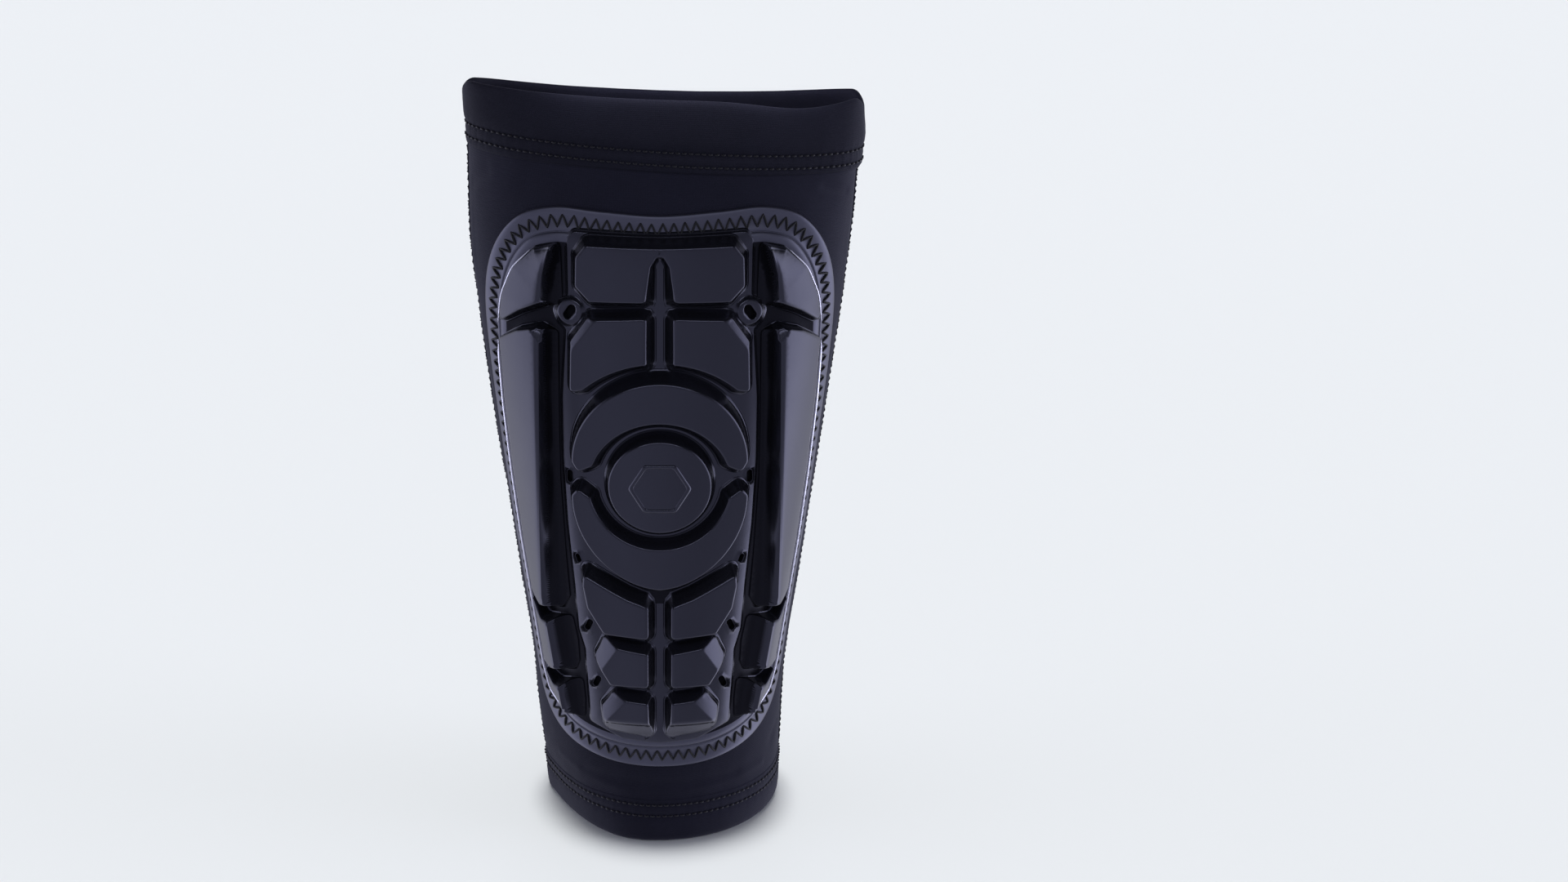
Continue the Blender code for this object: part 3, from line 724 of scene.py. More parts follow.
def make_pod(name, outline, face, floor, reference, **options):
    world, faces, normals, flat = pod(name, outline, face, floor, reference, **options)
    obj = piece(name, world, faces, FILM, uv=flat[:, :2], normals=normals)
    s, z, h = middles(flat, faces).T
    if name.startswith("wing"):
        # Painted shade on the wings' inner slopes, down to the channel.
        paint_shade(obj, np.abs(s) < np.interp(z, RIDGE_Z, RIDGE_S) - 0.75)
    if name == "lower_crescent_pod":
        # Painted shade on the middle of the lower crescent's outer wall, above the dark gap.
        painted_shade_wall = (h < POD_TOP - 0.9) & (np.hypot(s, z - DISC_AT) > WELL_RADIUS + 2)
        paint_shade(obj, painted_shade_wall & (np.abs(s) < 24))
    return obj


# Radius and height of the hexagon's rings.
EMBLEM_RINGS = ((10.2, -0.25), (9.75, 0.2), (9.35, 0.42), (8.95, 0.42), (8.6, 0.2), (8.2, -0.25))


def build_emblem():
    """A plain raised hexagon on the disc, in place of any mark."""
    rows, count = [], 6 * 14
    for radius, level in EMBLEM_RINGS:
        corners = [(radius * math.cos(a), DISC_AT + radius * math.sin(a))
                   for a in np.radians(np.arange(0, 360, 60))]
        ring = even(round_corners(corners, 1.6), count)
        rows.append(np.hstack([ring, (disc_face(ring[:, 0], ring[:, 1]) + level)[:, None]]))
    flat = np.vstack(rows)
    faces = ring_faces([range(k * count, (k + 1) * count) for k in range(len(rows))])
    return piece("disc_emblem", wrap(*flat.T), faces, FILM, uv=flat[:, :2])


def floor_of_spine(s, z):
    return np.where(inside(np.array(whole(SPINE)), s, z), plate_face(s, z), FLOOR + 0.1)


def floor_of_wing(s, z):
    """The channel on the inner side, the flange's rim on the outer side."""
    outside = np.abs(s) > np.interp(z, RIDGE_Z, RIDGE_S) + 4
    return np.where(outside, RIM_FACE - 0.3, FLOOR)


def ridge_lines(side):
    heights = np.arange(47, 224, 0.8)
    middle = np.interp(heights, RIDGE_Z, RIDGE_S)
    return [np.stack([side * (middle + shift), heights], axis=1)
            for shift in (-1.8, -1.1, -0.55, 0.0, 0.55, 1.1, 1.8)]


def build_pods():
    made = []
    rows = [(f"row_{i + 1}", outline) for i, outline in enumerate((ROW_1, row_2(), ROW_3, ROW_4, ROW_5))]
    wings = [(f"wing_{i + 1}", outline) for i, outline in enumerate((WING_1, WING_2, WING_3, WING_4))]
    for side, word in ((1, "right"), (-1, "left")):
        for name, outline in rows + wings:
            here = outline if side > 0 else mirrored(outline)
            if name.startswith("row"):
                obj = make_pod(f"{name}_{word}_pod", here, row_face(name), floor_of_spine, POD_TOP,
                               lines=crease_lines(name, side))
            else:
                obj = make_pod(f"{name}_{word}_pod", here, wing_face, floor_of_wing, FLOOR,
                               edge=1.1, foot=0.5, corner=2.0, lines=ridge_lines(side))
            made.append((obj, f"{name}_{word}_foam"))
    for name, outline, face in (("upper_crescent", upper_crescent(), crescent_face),
                                ("lower_crescent", lower_crescent(), crescent_face),
                                ("centre_disc", arc(DISC_AT, DISC_RADIUS, 0, 360, 96)[:-1], disc_face)):
        obj = make_pod(f"{name}_pod", outline, face, floor_of_spine, POD_TOP, corner=2.2, step=0.6)
        made.append((obj, f"{name}_foam"))
    for obj, cad in made:
        put(obj, "moulded_cover", cad)


def slot_outline(s, z, length, width, lean):
    turn = math.radians(lean)
    along = np.array((math.sin(turn), math.cos(turn)))
    across = np.array((along[1], -along[0]))
    out = []
    for a in np.linspace(0, 2 * math.pi, 28, endpoint=False):
        end = math.copysign((length - width) / 2, math.sin(a))
        out.append(np.array((s, z)) + across * math.cos(a) * (width / 2)
                   + along * (math.sin(a) * (width / 2) + end))
    return np.array(out)


BOSS_RADIUS, BOSS_SLOPE, BOSS_RISE = 5.3, 1.3, 1.2
BOSS_RINGS = (2.9, 3.4, 3.9, 4.4, 5.0, 5.7)     # radii of the mesh's rings round an upper vent


def plate_face(s, z):
    """The spine's plate, with a raised boss round the upper vents."""
    edge = distance_to(whole(SPINE) + [SPINE[0]], s, z)
    away = np.hypot(np.abs(s) - VENTS[0][0], z - VENTS[0][1])
    fall = PLATE_FALL * (1 - np.clip(edge / 8, 0, 1)) ** 1.5
    return PLATE - fall + BOSS_RISE * smoothstep((BOSS_RADIUS - away) / BOSS_SLOPE)


def build_plate():
    rim = resample(round_corners(whole(SPINE), 1.6), 0.8)
    normal = outward(rim)
    holes = [counter_clockwise(slot_outline(side * s, z, length, width, side * lean))
             for s, z, length, width, lean in VENTS for side in (1, -1)]
    low = PLATE - PLATE_FALL
    rows = [(rim + normal * out, level) for out, level in (
        (1.3, FLOOR - 0.5), (0.9, FLOOR), (0.4, FLOOR + 0.1), (0.15, FLOOR + 0.25),
        (0.02, low - 0.2), (-0.12, low - 0.05), (-0.35, low))]
    inner = rows[-1][0]
    turn = np.linspace(0, 2 * math.pi, 40, endpoint=False)
    at_s, at_z = VENTS[0][:2]
    boss = np.vstack([np.stack([side * at_s + radius * np.cos(turn), at_z + radius * np.sin(turn)], axis=1)
                      for side in (1, -1) for radius in BOSS_RINGS])
    grid = hex_points(inner, 2.2, 0.8)
    keep = inside(inner, *boss.T) & (off(inner, boss) > 0.2)
    clear = np.hypot(np.abs(grid[:, 0]) - at_s, grid[:, 1] - at_z) > 6.2
    for hole in holes:
        keep &= ~inside(hole, *boss.T) & (off(hole, boss) > 0.2)
        clear &= ~inside(hole, *grid.T) & (off(hole, grid) > 0.7)
    boss = boss[keep]
    for level in PAINTED_SHADE_BAND:
        clear &= (np.abs(grid[:, 0]) > 8) | (np.abs(grid[:, 1] - level) > 0.8)
        boss = np.vstack([boss, [(run, level) for run in np.arange(-7, 7.1, 0.7)]])
    filled = fill(inner, np.vstack([grid[clear], boss]), holes)
    flat, every, index = capped(rows, filled, plate_face)
    number = len(rim)
    for hole in holes:
        down = [[int(i) for i in index[filled[2][number:number + len(hole)]]]]
        number += len(hole)
        away = hole - hole.mean(axis=0)
        away /= np.linalg.norm(away, axis=1, keepdims=True)
        for shrink, level in ((0.12, PLATE - 0.12), (0.25, PLATE - 0.5), (0.3, 0.3)):
            down.append(list(range(len(flat), len(flat) + len(hole))))
            flat = np.vstack([flat, np.column_stack([hole - away * shrink, np.full(len(hole), level)])])
        every += ring_faces(down)
    obj = piece("spine_plate", wrap(*flat.T), every, FILM, uv=flat[:, :2])
    s, z, _ = middles(flat, every).T
    # Painted shade: a band across the flat plate below the lower crescent, where the gap to row 3 is dark.
    paint_shade(obj, (np.abs(s) < 7) & (z > PAINTED_SHADE_BAND[0]) & (z < PAINTED_SHADE_BAND[1]))
    return obj


FLANGE_PROFILE = ((0.0, 0.05), (-0.06, 0.55), (0.05, 0.95), (0.3, 1.25), (0.7, 1.4), (1.4, 1.45),
                  (2.4, 1.42), (3.2, 1.3), (4.0, 1.2), (4.8, 1.16), (5.6, 1.2), (6.4, 1.32),
                  (7.1, 1.5), (7.7, 1.62), (8.0, 1.5), (8.15, 1.28), (8.3, 1.5), (8.6, 1.75),
                  (9.3, 2.0), (10.2, 2.1), (11.5, 2.0), (13.0, FLOOR))


def flange_edge(count):
    """The flange's outline at this many even steps, and its smoothed normals."""
    edge = even(counter_clockwise(smooth_closed(whole(FLANGE), 24)), count)
    normal = outward(edge)
    for _ in range(6):
        normal = normal + 0.5 * (np.roll(normal, 1, axis=0) + np.roll(normal, -1, axis=0))
        normal /= np.linalg.norm(normal, axis=1, keepdims=True)
    return edge, normal


def build_flange():
    """The flange ring and the floor of the channels inside it, the floor with painted shade."""
    edge, normal = flange_edge(720)
    rows = [(edge - normal * inset, level) for inset, level in FLANGE_PROFILE]
    inner = rows[-1][0]
    grid = hex_points(inner, 3.4, 2.0)
    under = resample(round_corners(whole(SPINE), 1.6), 2.0)
    under = under - outward(under) * 1.2
    clear = ~inside(under, *grid.T) & (off(under, grid) > 0.8)
    flat, every, _ = capped(rows, fill(inner, grid[clear], [under]), lambda s, z: FLOOR)
    obj = piece("cover_flange", wrap(*flat.T), every, FLANGE_FILM, uv=flat[:, :2])
    last_ring = (len(FLANGE_PROFILE) - 2) * len(edge)
    # The floor of the channels and the ring next to it get painted shade.
    paint_shade(obj, np.arange(len(obj.data.polygons)) >= last_ring)
    return obj


def tube_mesh(paths, radii, sides):
    """Tubes along lists of world points; radii holds one number a point, in metres."""
    points, faces = [], []
    for path, radius in zip(paths, radii):
        path = np.asarray(path)
        along = np.gradient(path, axis=0)
        along /= np.linalg.norm(along, axis=1, keepdims=True) + 1e-15
        centre = np.array((0.0, SEAM_Y * MM, 0.0))
        out = path - centre
        out[:, 2] = 0
        out -= along * np.sum(out * along, axis=1, keepdims=True)
        out /= np.linalg.norm(out, axis=1, keepdims=True) + 1e-15
        side = np.cross(along, out)
        first = len(points)
        for k in range(len(path)):
            for a in np.linspace(0, 2 * math.pi, sides, endpoint=False):
                points.append(path[k] + (side[k] * math.cos(a) + out[k] * math.sin(a)) * radius[k])
        n = len(path)
        for low in range(first, first + (n - 1) * sides, sides):
            for i in range(sides):
                j = (i + 1) % sides
                faces.append((low + i, low + j, low + sides + j, low + sides + i))
        faces.append(tuple(first + i for i in reversed(range(sides))))
        faces.append(tuple(first + (n - 1) * sides + i for i in range(sides)))
    return np.array(points), faces


BEADS = (  # how much thicker each lip is at its middle, then its line
    (0.55, ((56.0, 187.0), (55.3, 165), (53.3, 140), (50.5, 115), (47.5, 94), (43.3, 66.5), (40.2, 56.8),
            (34.4, 51.4), (30, 49.2))),
    (0.20, ((43, 219.4), (49.5, 213.0), (54.0, 203.2), (55.7, 192.8))))


def build_bead():
    """The glossy lip along the wings' outer edges, in a light film that paints its highlight."""
    paths, radii = [], []
    for swell, line in BEADS:
        for side in (1, -1):
            points = np.array(line, float)
            run = travelled(points)
            at = np.arange(0, run[-1], 0.7)
            s, z = np.interp(at, run, points[:, 0]), np.interp(at, run, points[:, 1])
            for _ in range(8):
                s[1:-1] = (s[:-2] + 2 * s[1:-1] + s[2:]) / 4
                z[1:-1] = (z[:-2] + 2 * z[1:-1] + z[2:]) / 4
            end = np.minimum(at, run[-1] - at)
            paths.append(wrap(side * s, z, WING_EDGE - 0.05 + 0 * s))
            radii.append((0.15 + swell * smoothstep(end / 6)) * MM)
    points, faces = tube_mesh(paths, radii, sides=12)
    return piece("wing_lip", points, faces, LIP_HIGHLIGHT_FILM)


ZIGZAG_STEP = 3.75
ZIGZAG_BAND = (2.7, 6.7)        # how far in from the flange's edge


def build_zigzag():
    edge, normal = flange_edge(1440)
    length = travelled(closed(edge - normal * 4.8))
    count = 2 * round(length[-1] / ZIGZAG_STEP)
    at = np.arange(count + 1) * length[-1] / count
    number = np.interp(at, length, np.arange(len(length)))

    def place(where, inset):
        k = np.asarray(where) % len(edge)
        low = np.floor(k).astype(int)
        t = (k - low)[:, None]
        high = (low + 1) % len(edge)
        e = edge[low] * (1 - t) + edge[high] * t
        n = normal[low] * (1 - t) + normal[high] * t
        return e - n * np.asarray(inset)[:, None]

    paths, radii = [], []
    t = np.linspace(0, 1, 9)
    rng = np.random.default_rng(5)
    for i in range(count):
        a, b = ZIGZAG_BAND if i % 2 else ZIGZAG_BAND[::-1]
        a, b = a + rng.uniform(-0.25, 0.25), b + rng.uniform(-0.25, 0.25)
        where = number[i] + (number[i + 1] - number[i]) * t
        spot = place(where, a + (b - a) * t)
        lift = 1.18 + 0.42 * np.sin(math.pi * np.clip(t, 0.02, 0.98)) ** 0.5
        paths.append(wrap(spot[:, 0], spot[:, 1], lift))
        radii.append((0.37 - 0.10 * np.abs(2 * t - 1) ** 4) * MM)
    points, faces = tube_mesh(paths, radii, sides=7)
    return piece("zigzag_thread", points, faces, THREAD)


# ---- the sleeve


def slant(theta, z):
    """The cuff is a little higher on the left; the hem lifts on the right."""
    sine = np.sin(theta)
    up = -2.6 * sine * smoothstep((z - 215) / 50)
    lift = 0.4 * np.maximum(sine, 0) ** 1.6 * (1 - smoothstep(z / 40))
    near = np.clip((np.abs(sine) - 0.955) / 0.045, 0, 1)
    droop = np.where(sine > 0, 4.2, 2.6) * (1 - np.sqrt(1 - near * near)) * smoothstep((z - 258) / 12)
    low = smoothstep((z - 225) / 45)
    across = 1 - np.abs((sine + 0.05) / 1.05) ** 2.2
    dip = np.where(np.cos(theta) < 0, 5.6, 2.0) * np.clip(across, 0, 1) * low
    fold = 3.0 * np.exp(-(((sine - 0.72) / 0.28) ** 2)) * (np.cos(theta) > 0) * smoothstep((z - 250) / 20)
    tilt = -2.6 * sine * np.exp(-(((z - 250) / 9) ** 2))
    return up + lift - droop - dip - fold + tilt


CREASES = ((46, 240, 60, 236, 1.6, -0.5), (-52, 241, -64, 236, 2.2, -0.35), (-30, 24.5, 30, 23.5, 2.0, -0.45),
           (10, 20.5, 44, 23, 1.5, 0.35), (-44, 27, -12, 20, 1.8, 0.3), (52, 30, 62, 40, 2.4, -0.4),
           (-62, 22, -50, 34, 2.4, -0.4))


def rumple(theta, z):
    """Soft dents and creases in the knit, in millimetres; none under the pad."""
    width, depth = station(z, 1), np.where(np.cos(theta) >= 0, station(z, 2), station(z, 3))
    s = theta * (width + depth) / 2
    out = np.zeros(np.shape(theta))
    flat_t, flat_z = np.ravel(theta), np.ravel(z)
    waves = np.array([noise.noise(Vector((math.sin(a) * 2.2, math.cos(a) * 2.2, b / 34))) * 0.7
                      + noise.noise(Vector((math.sin(a) * 7, math.cos(a) * 7, b / 9 + 7))) * 0.18
                      for a, b in zip(flat_t, flat_z)]).reshape(np.shape(theta))
    out += waves
    for s0, z0, s1, z1, wide, deep in CREASES:
        away = distance_to(((s0, z0), (s1, z1)), s, z)
        out += deep * np.exp(-((away / wide) ** 2))
    covered = smoothstep((np.minimum(z - 28, 237 - z)) / 10) * (np.cos(theta) > 0)
    side = smoothstep((math.radians(82) - np.abs(theta)) / 0.12)
    return out * (1 - covered * side)


def cloth(theta, z, h):
    theta, z, h = np.broadcast_arrays(np.asarray(theta, float), z, h)
    inside_z = np.clip(z, 0, HEIGHT)
    world = around(theta, inside_z, h + rumple(theta, inside_z) * 0.8)
    world[..., 2] = (z + slant(theta, z)) * MM
    sine = np.sin(theta)
    low = 1 - smoothstep(z / 30)
    world[..., 1] += np.where(sine > 0, 0.8, 1.0) * sine * low * MM
    pinch = np.sqrt(np.clip(1 - sine**2, 0, 1)) - (1 - np.abs(sine) ** 2.3)
    front_left = (np.cos(theta) > 0) & (sine < 0)
    world[..., 1] += np.where(front_left, pinch, 0) * station(inside_z, 2) * low * MM
    world[..., 0] += 2.3 * np.clip(-sine, 0, 1) ** 2 * (1 - smoothstep(z / 46)) * MM
    world[..., 0] += 2.7 * np.clip(-sine, 0, 1) ** 2 * smoothstep((z - 205) / 55) * MM
    boxy = smoothstep((z - 243.5) / 3) * (1 - smoothstep((z - 254) / 14))
    world[..., 0] += 1.1 * np.clip(sine, 0, 1) ** 3 * boxy * MM
    return world


def length_round(theta, z):
    """Arc length round the sleeve, in millimetres, for the knit's UVs."""
    mean = (station(z, 1) + np.where(np.cos(theta) >= 0, station(z, 2), station(z, 3))) / 2
    return theta * mean * 1.05


PANEL_LOW, PANEL_HIGH = 1.0, 253.0      # the knit's cut edges, under the hem and inside the cuff
PANEL_THICK = 0.75
PANEL_GAP = 0.012                       # from a panel's side to the seam's middle, in radians


def build_panel(name, back):
    columns, rows = 150, 250
    turn = np.linspace(-math.pi / 2 + PANEL_GAP, math.pi / 2 - PANEL_GAP, columns) + math.pi * back
    z = np.linspace(PANEL_LOW, PANEL_HIGH, rows)
    theta, height = np.meshgrid(turn, z)
    outer = cloth(theta, height, 0.0).reshape(-1, 3)
    inner = cloth(theta, height, -PANEL_THICK).reshape(-1, 3)
    uv = np.stack([length_round(theta, height), height], axis=-1).reshape(-1, 2)
    n = columns * rows
    number = np.arange(n).reshape(rows, columns)
    quads = np.stack([number[:-1, :-1], number[:-1, 1:], number[1:, 1:], number[1:, :-1]], axis=-1)
    faces = []
    for quad in quads.reshape(-1, 4).tolist():
        faces += [quad, [n + i for i in reversed(quad)]]
    border = np.concatenate([number[0], number[1:, -1], number[-1, -2::-1], number[-2:0:-1, 0]]).tolist()
    for a, b in zip(border, border[1:] + border[:1]):
        faces.append((b, a, n + a, n + b))
    return piece(name, np.vstack([outer, inner]), faces, KNIT, uv=np.vstack([uv, uv]))


def band(name, profile, mat, steps=360, pucker=None):
    """A closed band round the sleeve with a profile of (h, z)."""
    turn = np.linspace(-math.pi, math.pi, steps, endpoint=False)
    points, uv = [], []
    run = 0.0
    for k, (h, z) in enumerate(profile):
        extra = np.zeros(steps) if pucker is None else pucker(turn, z, h)
        points.append(cloth(turn, np.full(steps, z), h + extra))
        if k:
            run += math.hypot(h - profile[k - 1][0], z - profile[k - 1][1])
        uv.append(np.stack([length_round(turn, np.full(steps, z)), np.full(steps, run)], axis=-1))
    count = len(profile)
    faces = ring_faces([range(k * steps, (k + 1) * steps) for k in range(count)] + [range(steps)], flip=True)
    return piece(name, np.vstack(points), faces, mat, uv=np.vstack(uv))


CUFF_STITCH = (253.2, 248.8)
HEM_STITCH = (15.0, 10.5)
STITCH_STEP = 2.2


def cuff_pucker(turn, z, h):
    """Small gathers where the stitch rows pull the cuff in."""
    if h < 0:
        return 0 * turn
    near = sum(math.exp(-(((z - row) / 1.6) ** 2)) for row in CUFF_STITCH + HEM_STITCH)
    return -0.22 * near * (1 + 0.6 * np.sin(turn * 97) * np.cos(turn * 31))


def build_cuff():
    outer = [(0.1, 246.2), (0.55, 246.4), (0.85, 247.0), (1.0, 247.7), (0.95, 248.4), (0.8, 248.8),
             (0.95, 249.3), (1.1, 251.0), (0.95, 252.7), (0.8, 253.2), (1.0, 253.7), (1.35, 255.0),
             (1.5, 257), (1.5, 260), (1.45, 264), (1.35, 267), (1.2, 268.3), (0.9, 269.2),
             (0.45, 269.8), (-0.1, 270.0)]
    inner = [(-0.7, 269.8), (-1.2, 269.2), (-1.5, 268.3), (-1.7, 266), (-1.8, 260), (-1.8, 250), (-1.8, 246),
             (-1.2, 245.2), (-0.6, 245.0)]
    cuff = band("top_cuff_fold", outer + inner, CUFF_KNIT, pucker=cuff_pucker)
    elastic = [(0.3, 254), (0.3, 267), (-1.0, 267), (-1.0, 254)]
    inside_band = band("cuff_elastic", elastic, ELASTIC, steps=180)
    return cuff, inside_band


def build_hem():
    hem = [(0.05, 17.2), (0.28, 16.9), (0.45, 16.2), (0.42, 15.4), (0.3, 15.0), (0.5, 14.5), (0.72, 12.8),
           (0.6, 11.1), (0.42, 10.5), (0.65, 9.9), (0.95, 8.0), (1.0, 5.0), (0.95, 2.4), (0.75, 1.1),
           (0.3, 0.3), (-0.3, 0.0), (-1.0, 0.1), (-1.5, 0.6), (-1.8, 1.6), (-1.8, 8.0), (-1.8, 16.0),
           (-1.4, 16.8), (-0.8, 17.0)]
    return band("bottom_hem_fold", hem, KNIT, pucker=cuff_pucker)


def build_dashes(name, z, lift):
    """One row of lockstitches: short threads that dive between dashes."""
    turn = np.linspace(-math.pi, math.pi, 2881)
    length = travelled(cloth(turn, np.full(len(turn), z), lift))
    count = round(length[-1] / (STITCH_STEP * MM))
    paths, radii = [], []
    t = np.linspace(0, 1, 6)
    for i in range(count):
        where = (i + 0.20 + 0.60 * t) * length[-1] / count
        theta = np.interp(where, length, turn)
        up = lift + 0.32 * np.sin(math.pi * np.clip(t, 0.03, 0.97)) ** 0.6 - 0.22
        paths.append(cloth(theta, np.full(len(t), z), up))
        radii.append((0.33 - 0.09 * np.abs(2 * t - 1) ** 3) * MM)
    points, faces = tube_mesh(paths, radii, sides=6)
    return piece(name, points, faces, HEM_THREAD)


def build_side_seam(name, side):
    """A flat overlocked ridge: a soft cord with thread loops bound round it."""
    z = np.arange(HEM_TOP + 0.4, CUFF_BOTTOM, 0.5)
    theta = np.full(len(z), side * math.pi / 2)
    path = cloth(theta, z, -0.35 + 0 * z)
    radius = (0.95 + 0.14 * np.sin(z * 2 * math.pi / 2.9)) * MM
    ridge, faces = tube_mesh([path], [radius], sides=10)
    turns = np.arange(HEM_TOP + 0.8, CUFF_BOTTOM - 0.4, 0.16)
    spin = turns * 2 * math.pi / 2.4
    loop = cloth(side * math.pi / 2 + 0.020 * np.sin(spin), turns, -0.35 + 1.02 * np.cos(spin))
    thread, more = tube_mesh([loop], [np.full(len(turns), 0.2 * MM)], sides=6)
    first = len(ridge)
    faces += [tuple(first + i for i in f) for f in more]
    return piece(name, np.vstack([ridge, thread]), faces, KNIT,
                 uv=np.vstack([ridge[:, 1:] / MM, thread[:, 1:] / MM]))


# ---- put together


def put(obj, slot, *nodes):
    """Hangs a piece on the root body and hides the CAD nodes that it stands for; slot is not used."""
    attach(obj, "root")
    if nodes:
        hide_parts(*nodes)
    return obj


put(build_flange(), "moulded_cover", "moulded_cover")
put(build_plate(), "moulded_cover", "moulded_cover")
build_pods()
put(build_emblem(), "moulded_cover")
lip = put(build_bead(), "moulded_cover")
put(build_zigzag(), "sewing_thread", "zigzag_stitch")

front = put(build_panel("front_knit_panel", 0), "sleeve_knit", "sleeve_front_panel")
back = put(build_panel("back_knit_panel", 1), "sleeve_knit", "sleeve_back_panel")
cuff, elastic = build_cuff()
put(cuff, "sleeve_knit", "top_cuff")
put(elastic, "elastic", "top_cuff_elastic")
hem = put(build_hem(), "sleeve_knit", "bottom_hem")
for name, z, cad in (("cuff_thread_upper", CUFF_STITCH[0], "top_cuff_stitch_upper"),
                     ("cuff_thread_lower", CUFF_STITCH[1], "top_cuff_stitch_lower"),
                     ("hem_thread_upper", HEM_STITCH[0], "bottom_hem_stitch_upper"),
                     ("hem_thread_lower", HEM_STITCH[1], "bottom_hem_stitch_lower")):
    put(build_dashes(name, z, 0.95 if z > 100 else 0.55), "sewing_thread", cad)
put(build_side_seam("right_overlock_seam", 1), "sleeve_knit", "right_side_seam")
put(build_side_seam("left_overlock_seam", -1), "sleeve_knit", "left_side_seam")

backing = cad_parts["pad_backing"]
backing.data.materials.clear()
backing.data.materials.append(BACKING)

# ---- floor, light and camera


HALF = 40.0
floor = piece("studio_floor", [(-HALF, -HALF, 0), (HALF, -HALF, 0), (HALF, HALF, 0), (-HALF, HALF, 0)],
              [(0, 1, 2, 3)], paper_material("floor_paper", (0.768, 0.791, 0.790), 0.9), smooth=False)
floor.visible_glossy = False


def add_light(data, aim, receivers):
    """A light that shines along aim, on these objects only."""
    obj = bpy.data.objects.new(data.name, data)
    obj.rotation_euler = aim.to_track_quat("-Z", "Y").to_euler()
    bpy.context.scene.collection.objects.link(obj)
    group = bpy.data.collections.new(data.name + "_receivers")
    for receiver in receivers:
        group.objects.link(receiver)
    obj.light_linking.receiver_collection = group
    return obj


guard = [obj for obj in bpy.data.objects if obj.type == "MESH" and obj != floor]
knits = [front, back, cuff, hem, elastic]
sewn = knits + [obj for obj in guard if obj.name.startswith(("cuff_thread", "hem_thread"))]
hard = [obj for obj in guard if obj not in sewn]
LIGHTS = (  # place and target in metres, width, height, watts, colour, what it lights
    ("edge_strip", (0, -0.9, 1.05), (0, 0, 0.14), 1.4, 0.16, 4.6, (0.90, 0.92, 1.0), hard),
    ("knit_softbox", (0, -0.75, 0.95), (0, 0, 0.2), 0.9, 0.6, 3.4, (0.92, 0.93, 1.0), knits),
    ("left_knit_softbox", (-0.50, 0.06, 0.33), (0, 0, 0.21), 0.66, 0.40, 1.9, (0.88, 0.88, 1.0), sewn),
    ("right_knit_softbox", (0.54, 0.06, 0.32), (0, 0, 0.21), 0.66, 0.40, 2.7, (0.86, 0.87, 1.0), sewn),
    ("cuff_glow", (0.01, -0.006, 0.290), (0.01, 0.030, 0.262), 0.09, 0.02, 0.05, (0.90, 0.91, 1.0),
     [elastic, cuff, back]),
    ("left_lip_strip", (-0.55, -0.12, 0.05), (0, 0, 0.12), 0.30, 0.34, 8.0, (0.94, 0.94, 1.0), [lip]),
    ("right_lip_strip", (0.55, -0.12, 0.05), (0, 0, 0.12), 0.30, 0.34, 11.0, (0.94, 0.94, 1.0), [lip]))
for name, place, target, width, height, watts, colour, receivers in LIGHTS:
    data = bpy.data.lights.new(name, "AREA")
    data.shape = "RECTANGLE"
    data.size, data.size_y = width, height
    data.energy, data.color = watts, colour
    light = add_light(data, Vector(target) - Vector(place), receivers)
    light.location = place
    light.visible_camera = False

SUN_FROM = Vector((-0.02, 0.52, 1.0))
sun = bpy.data.lights.new("floor_sun", "SUN")
sun.energy = 2.80
sun.angle = math.radians(46)
floor_sun = add_light(sun, -SUN_FROM, [floor])
blockers = bpy.data.collections.new("floor_shadow")
blockers.objects.link(hem)
floor_sun.light_linking.blocker_collection = blockers

SURROUNDINGS = (  # azimuth from the front in degrees, brightness on the left, on the right
    (0, 0.92, 0.92), (20, 1.05, 0.76), (36, 1.0, 0.85), (52, 0.8, 0.8), (66, 1.4, 1.5),
    (76, 3.0, 4.7), (90, 3.1, 4.7), (106, 2.45, 2.7), (121, 1.65, 1.65), (134, 1.05, 1.25),
    (145, 0.75, 1.0), (155, 0.5, 0.66), (163, 0.42, 0.46), (169, 2.4, 3.0), (180, 2.6, 2.6))
UNDER = 1.25            # brightness straight below
AMBIENT = 0.018         # brightness everywhere


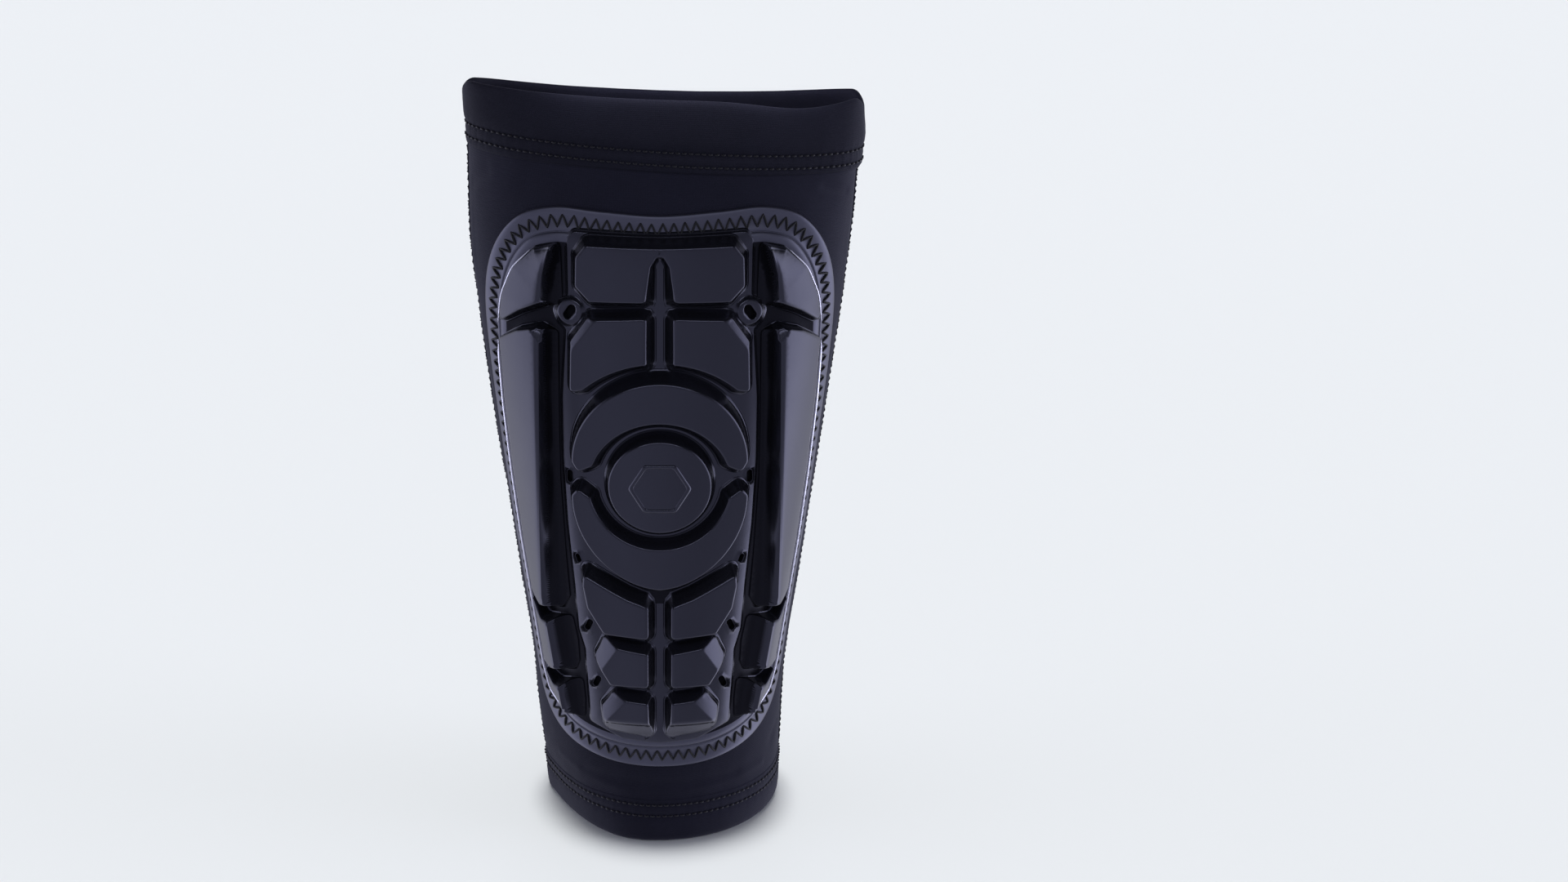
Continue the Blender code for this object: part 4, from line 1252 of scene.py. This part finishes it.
def studio_world():
    """Pale all round for the camera; the film sees a set dark above, with grey in front and bright sides."""
    world = bpy.data.worlds.new("studio")
    world.use_nodes = True
    tree = world.node_tree
    link = tree.links.new

    place = node(tree, "ShaderNodeTexCoord")
    split = node(tree, "ShaderNodeSeparateXYZ")
    link(place.outputs["Generated"], split.inputs[0])
    front_way = maths(tree, "MULTIPLY", split.outputs["Y"], -1.0)
    turn = maths(tree, "DIVIDE", maths(tree, "ARCTAN2", split.outputs["X"], front_way), math.pi)
    turn = maths(tree, "MULTIPLY_ADD", turn, 0.5, 0.5)
    around_set = node(tree, "ShaderNodeFloatCurve")
    curve = around_set.mapping.curves[0]
    top = max(max(row[1:]) for row in SURROUNDINGS)
    stops = [(0.5 - a / 360, left / top) for a, left, _ in SURROUNDINGS[::-1]]
    stops += [(0.5 + a / 360, right / top) for a, _, right in SURROUNDINGS[1:]]
    while len(curve.points) < len(stops):
        curve.points.new(0.5, 0.5)
    for point, (x, y) in zip(curve.points, stops):
        point.location = (x, y)
        point.handle_type = "VECTOR"
    around_set.mapping.update()
    link(turn, around_set.inputs["Value"])

    def fade(from_low, from_high, to_low, to_high):
        made = node(tree, "ShaderNodeMapRange", in_1=from_low, in_2=from_high, in_3=to_low, in_4=to_high,
                    interpolation_type="SMOOTHSTEP")
        link(split.outputs["Z"], made.inputs["Value"])
        return made.outputs["Result"]

    below = fade(0.15, 0.70, 1.0, 0.0)
    steep = fade(-0.93, -0.66, 0.0, 1.0)
    strength = maths(tree, "MULTIPLY", maths(tree, "MULTIPLY", around_set.outputs[0], top), below)
    under = maths(tree, "MULTIPLY", maths(tree, "SUBTRACT", 1.0, steep), UNDER)
    strength = maths(tree, "ADD", maths(tree, "MULTIPLY", strength, steep), under)
    lit = tree.nodes["Background"]
    lit.inputs["Color"].default_value = (0.84, 0.85, 1.0, 1)
    link(maths(tree, "ADD", strength, AMBIENT), lit.inputs["Strength"])
    seen = node(tree, "ShaderNodeLightPath")
    plain_sky = node(tree, "ShaderNodeBackground")
    plain_sky.inputs["Color"].default_value = (0.83, 0.865, 0.89, 1)
    choose = node(tree, "ShaderNodeMixShader")
    link(seen.outputs["Is Camera Ray"], choose.inputs[0])
    link(lit.outputs[0], choose.inputs[1])
    link(plain_sky.outputs[0], choose.inputs[2])
    link(choose.outputs[0], tree.nodes["World Output"].inputs["Surface"])
    return world


bpy.context.scene.world = studio_world()

camera_data = bpy.data.cameras.new("camera")
camera = bpy.data.objects.new("camera", camera_data)
bpy.context.scene.collection.objects.link(camera)
camera_data.lens = 56.9
camera_data.sensor_width = 36.0
camera_data.shift_x = 0.0792
camera_data.shift_y = 0.0120
camera.location = (0, -0.8213, 0.467)
LOOK_DOWN = 22
camera.rotation_euler = (math.radians(90 - LOOK_DOWN), 0, 0)
bpy.context.scene.camera = camera
bpy.context.scene.view_settings.view_transform = "Standard"
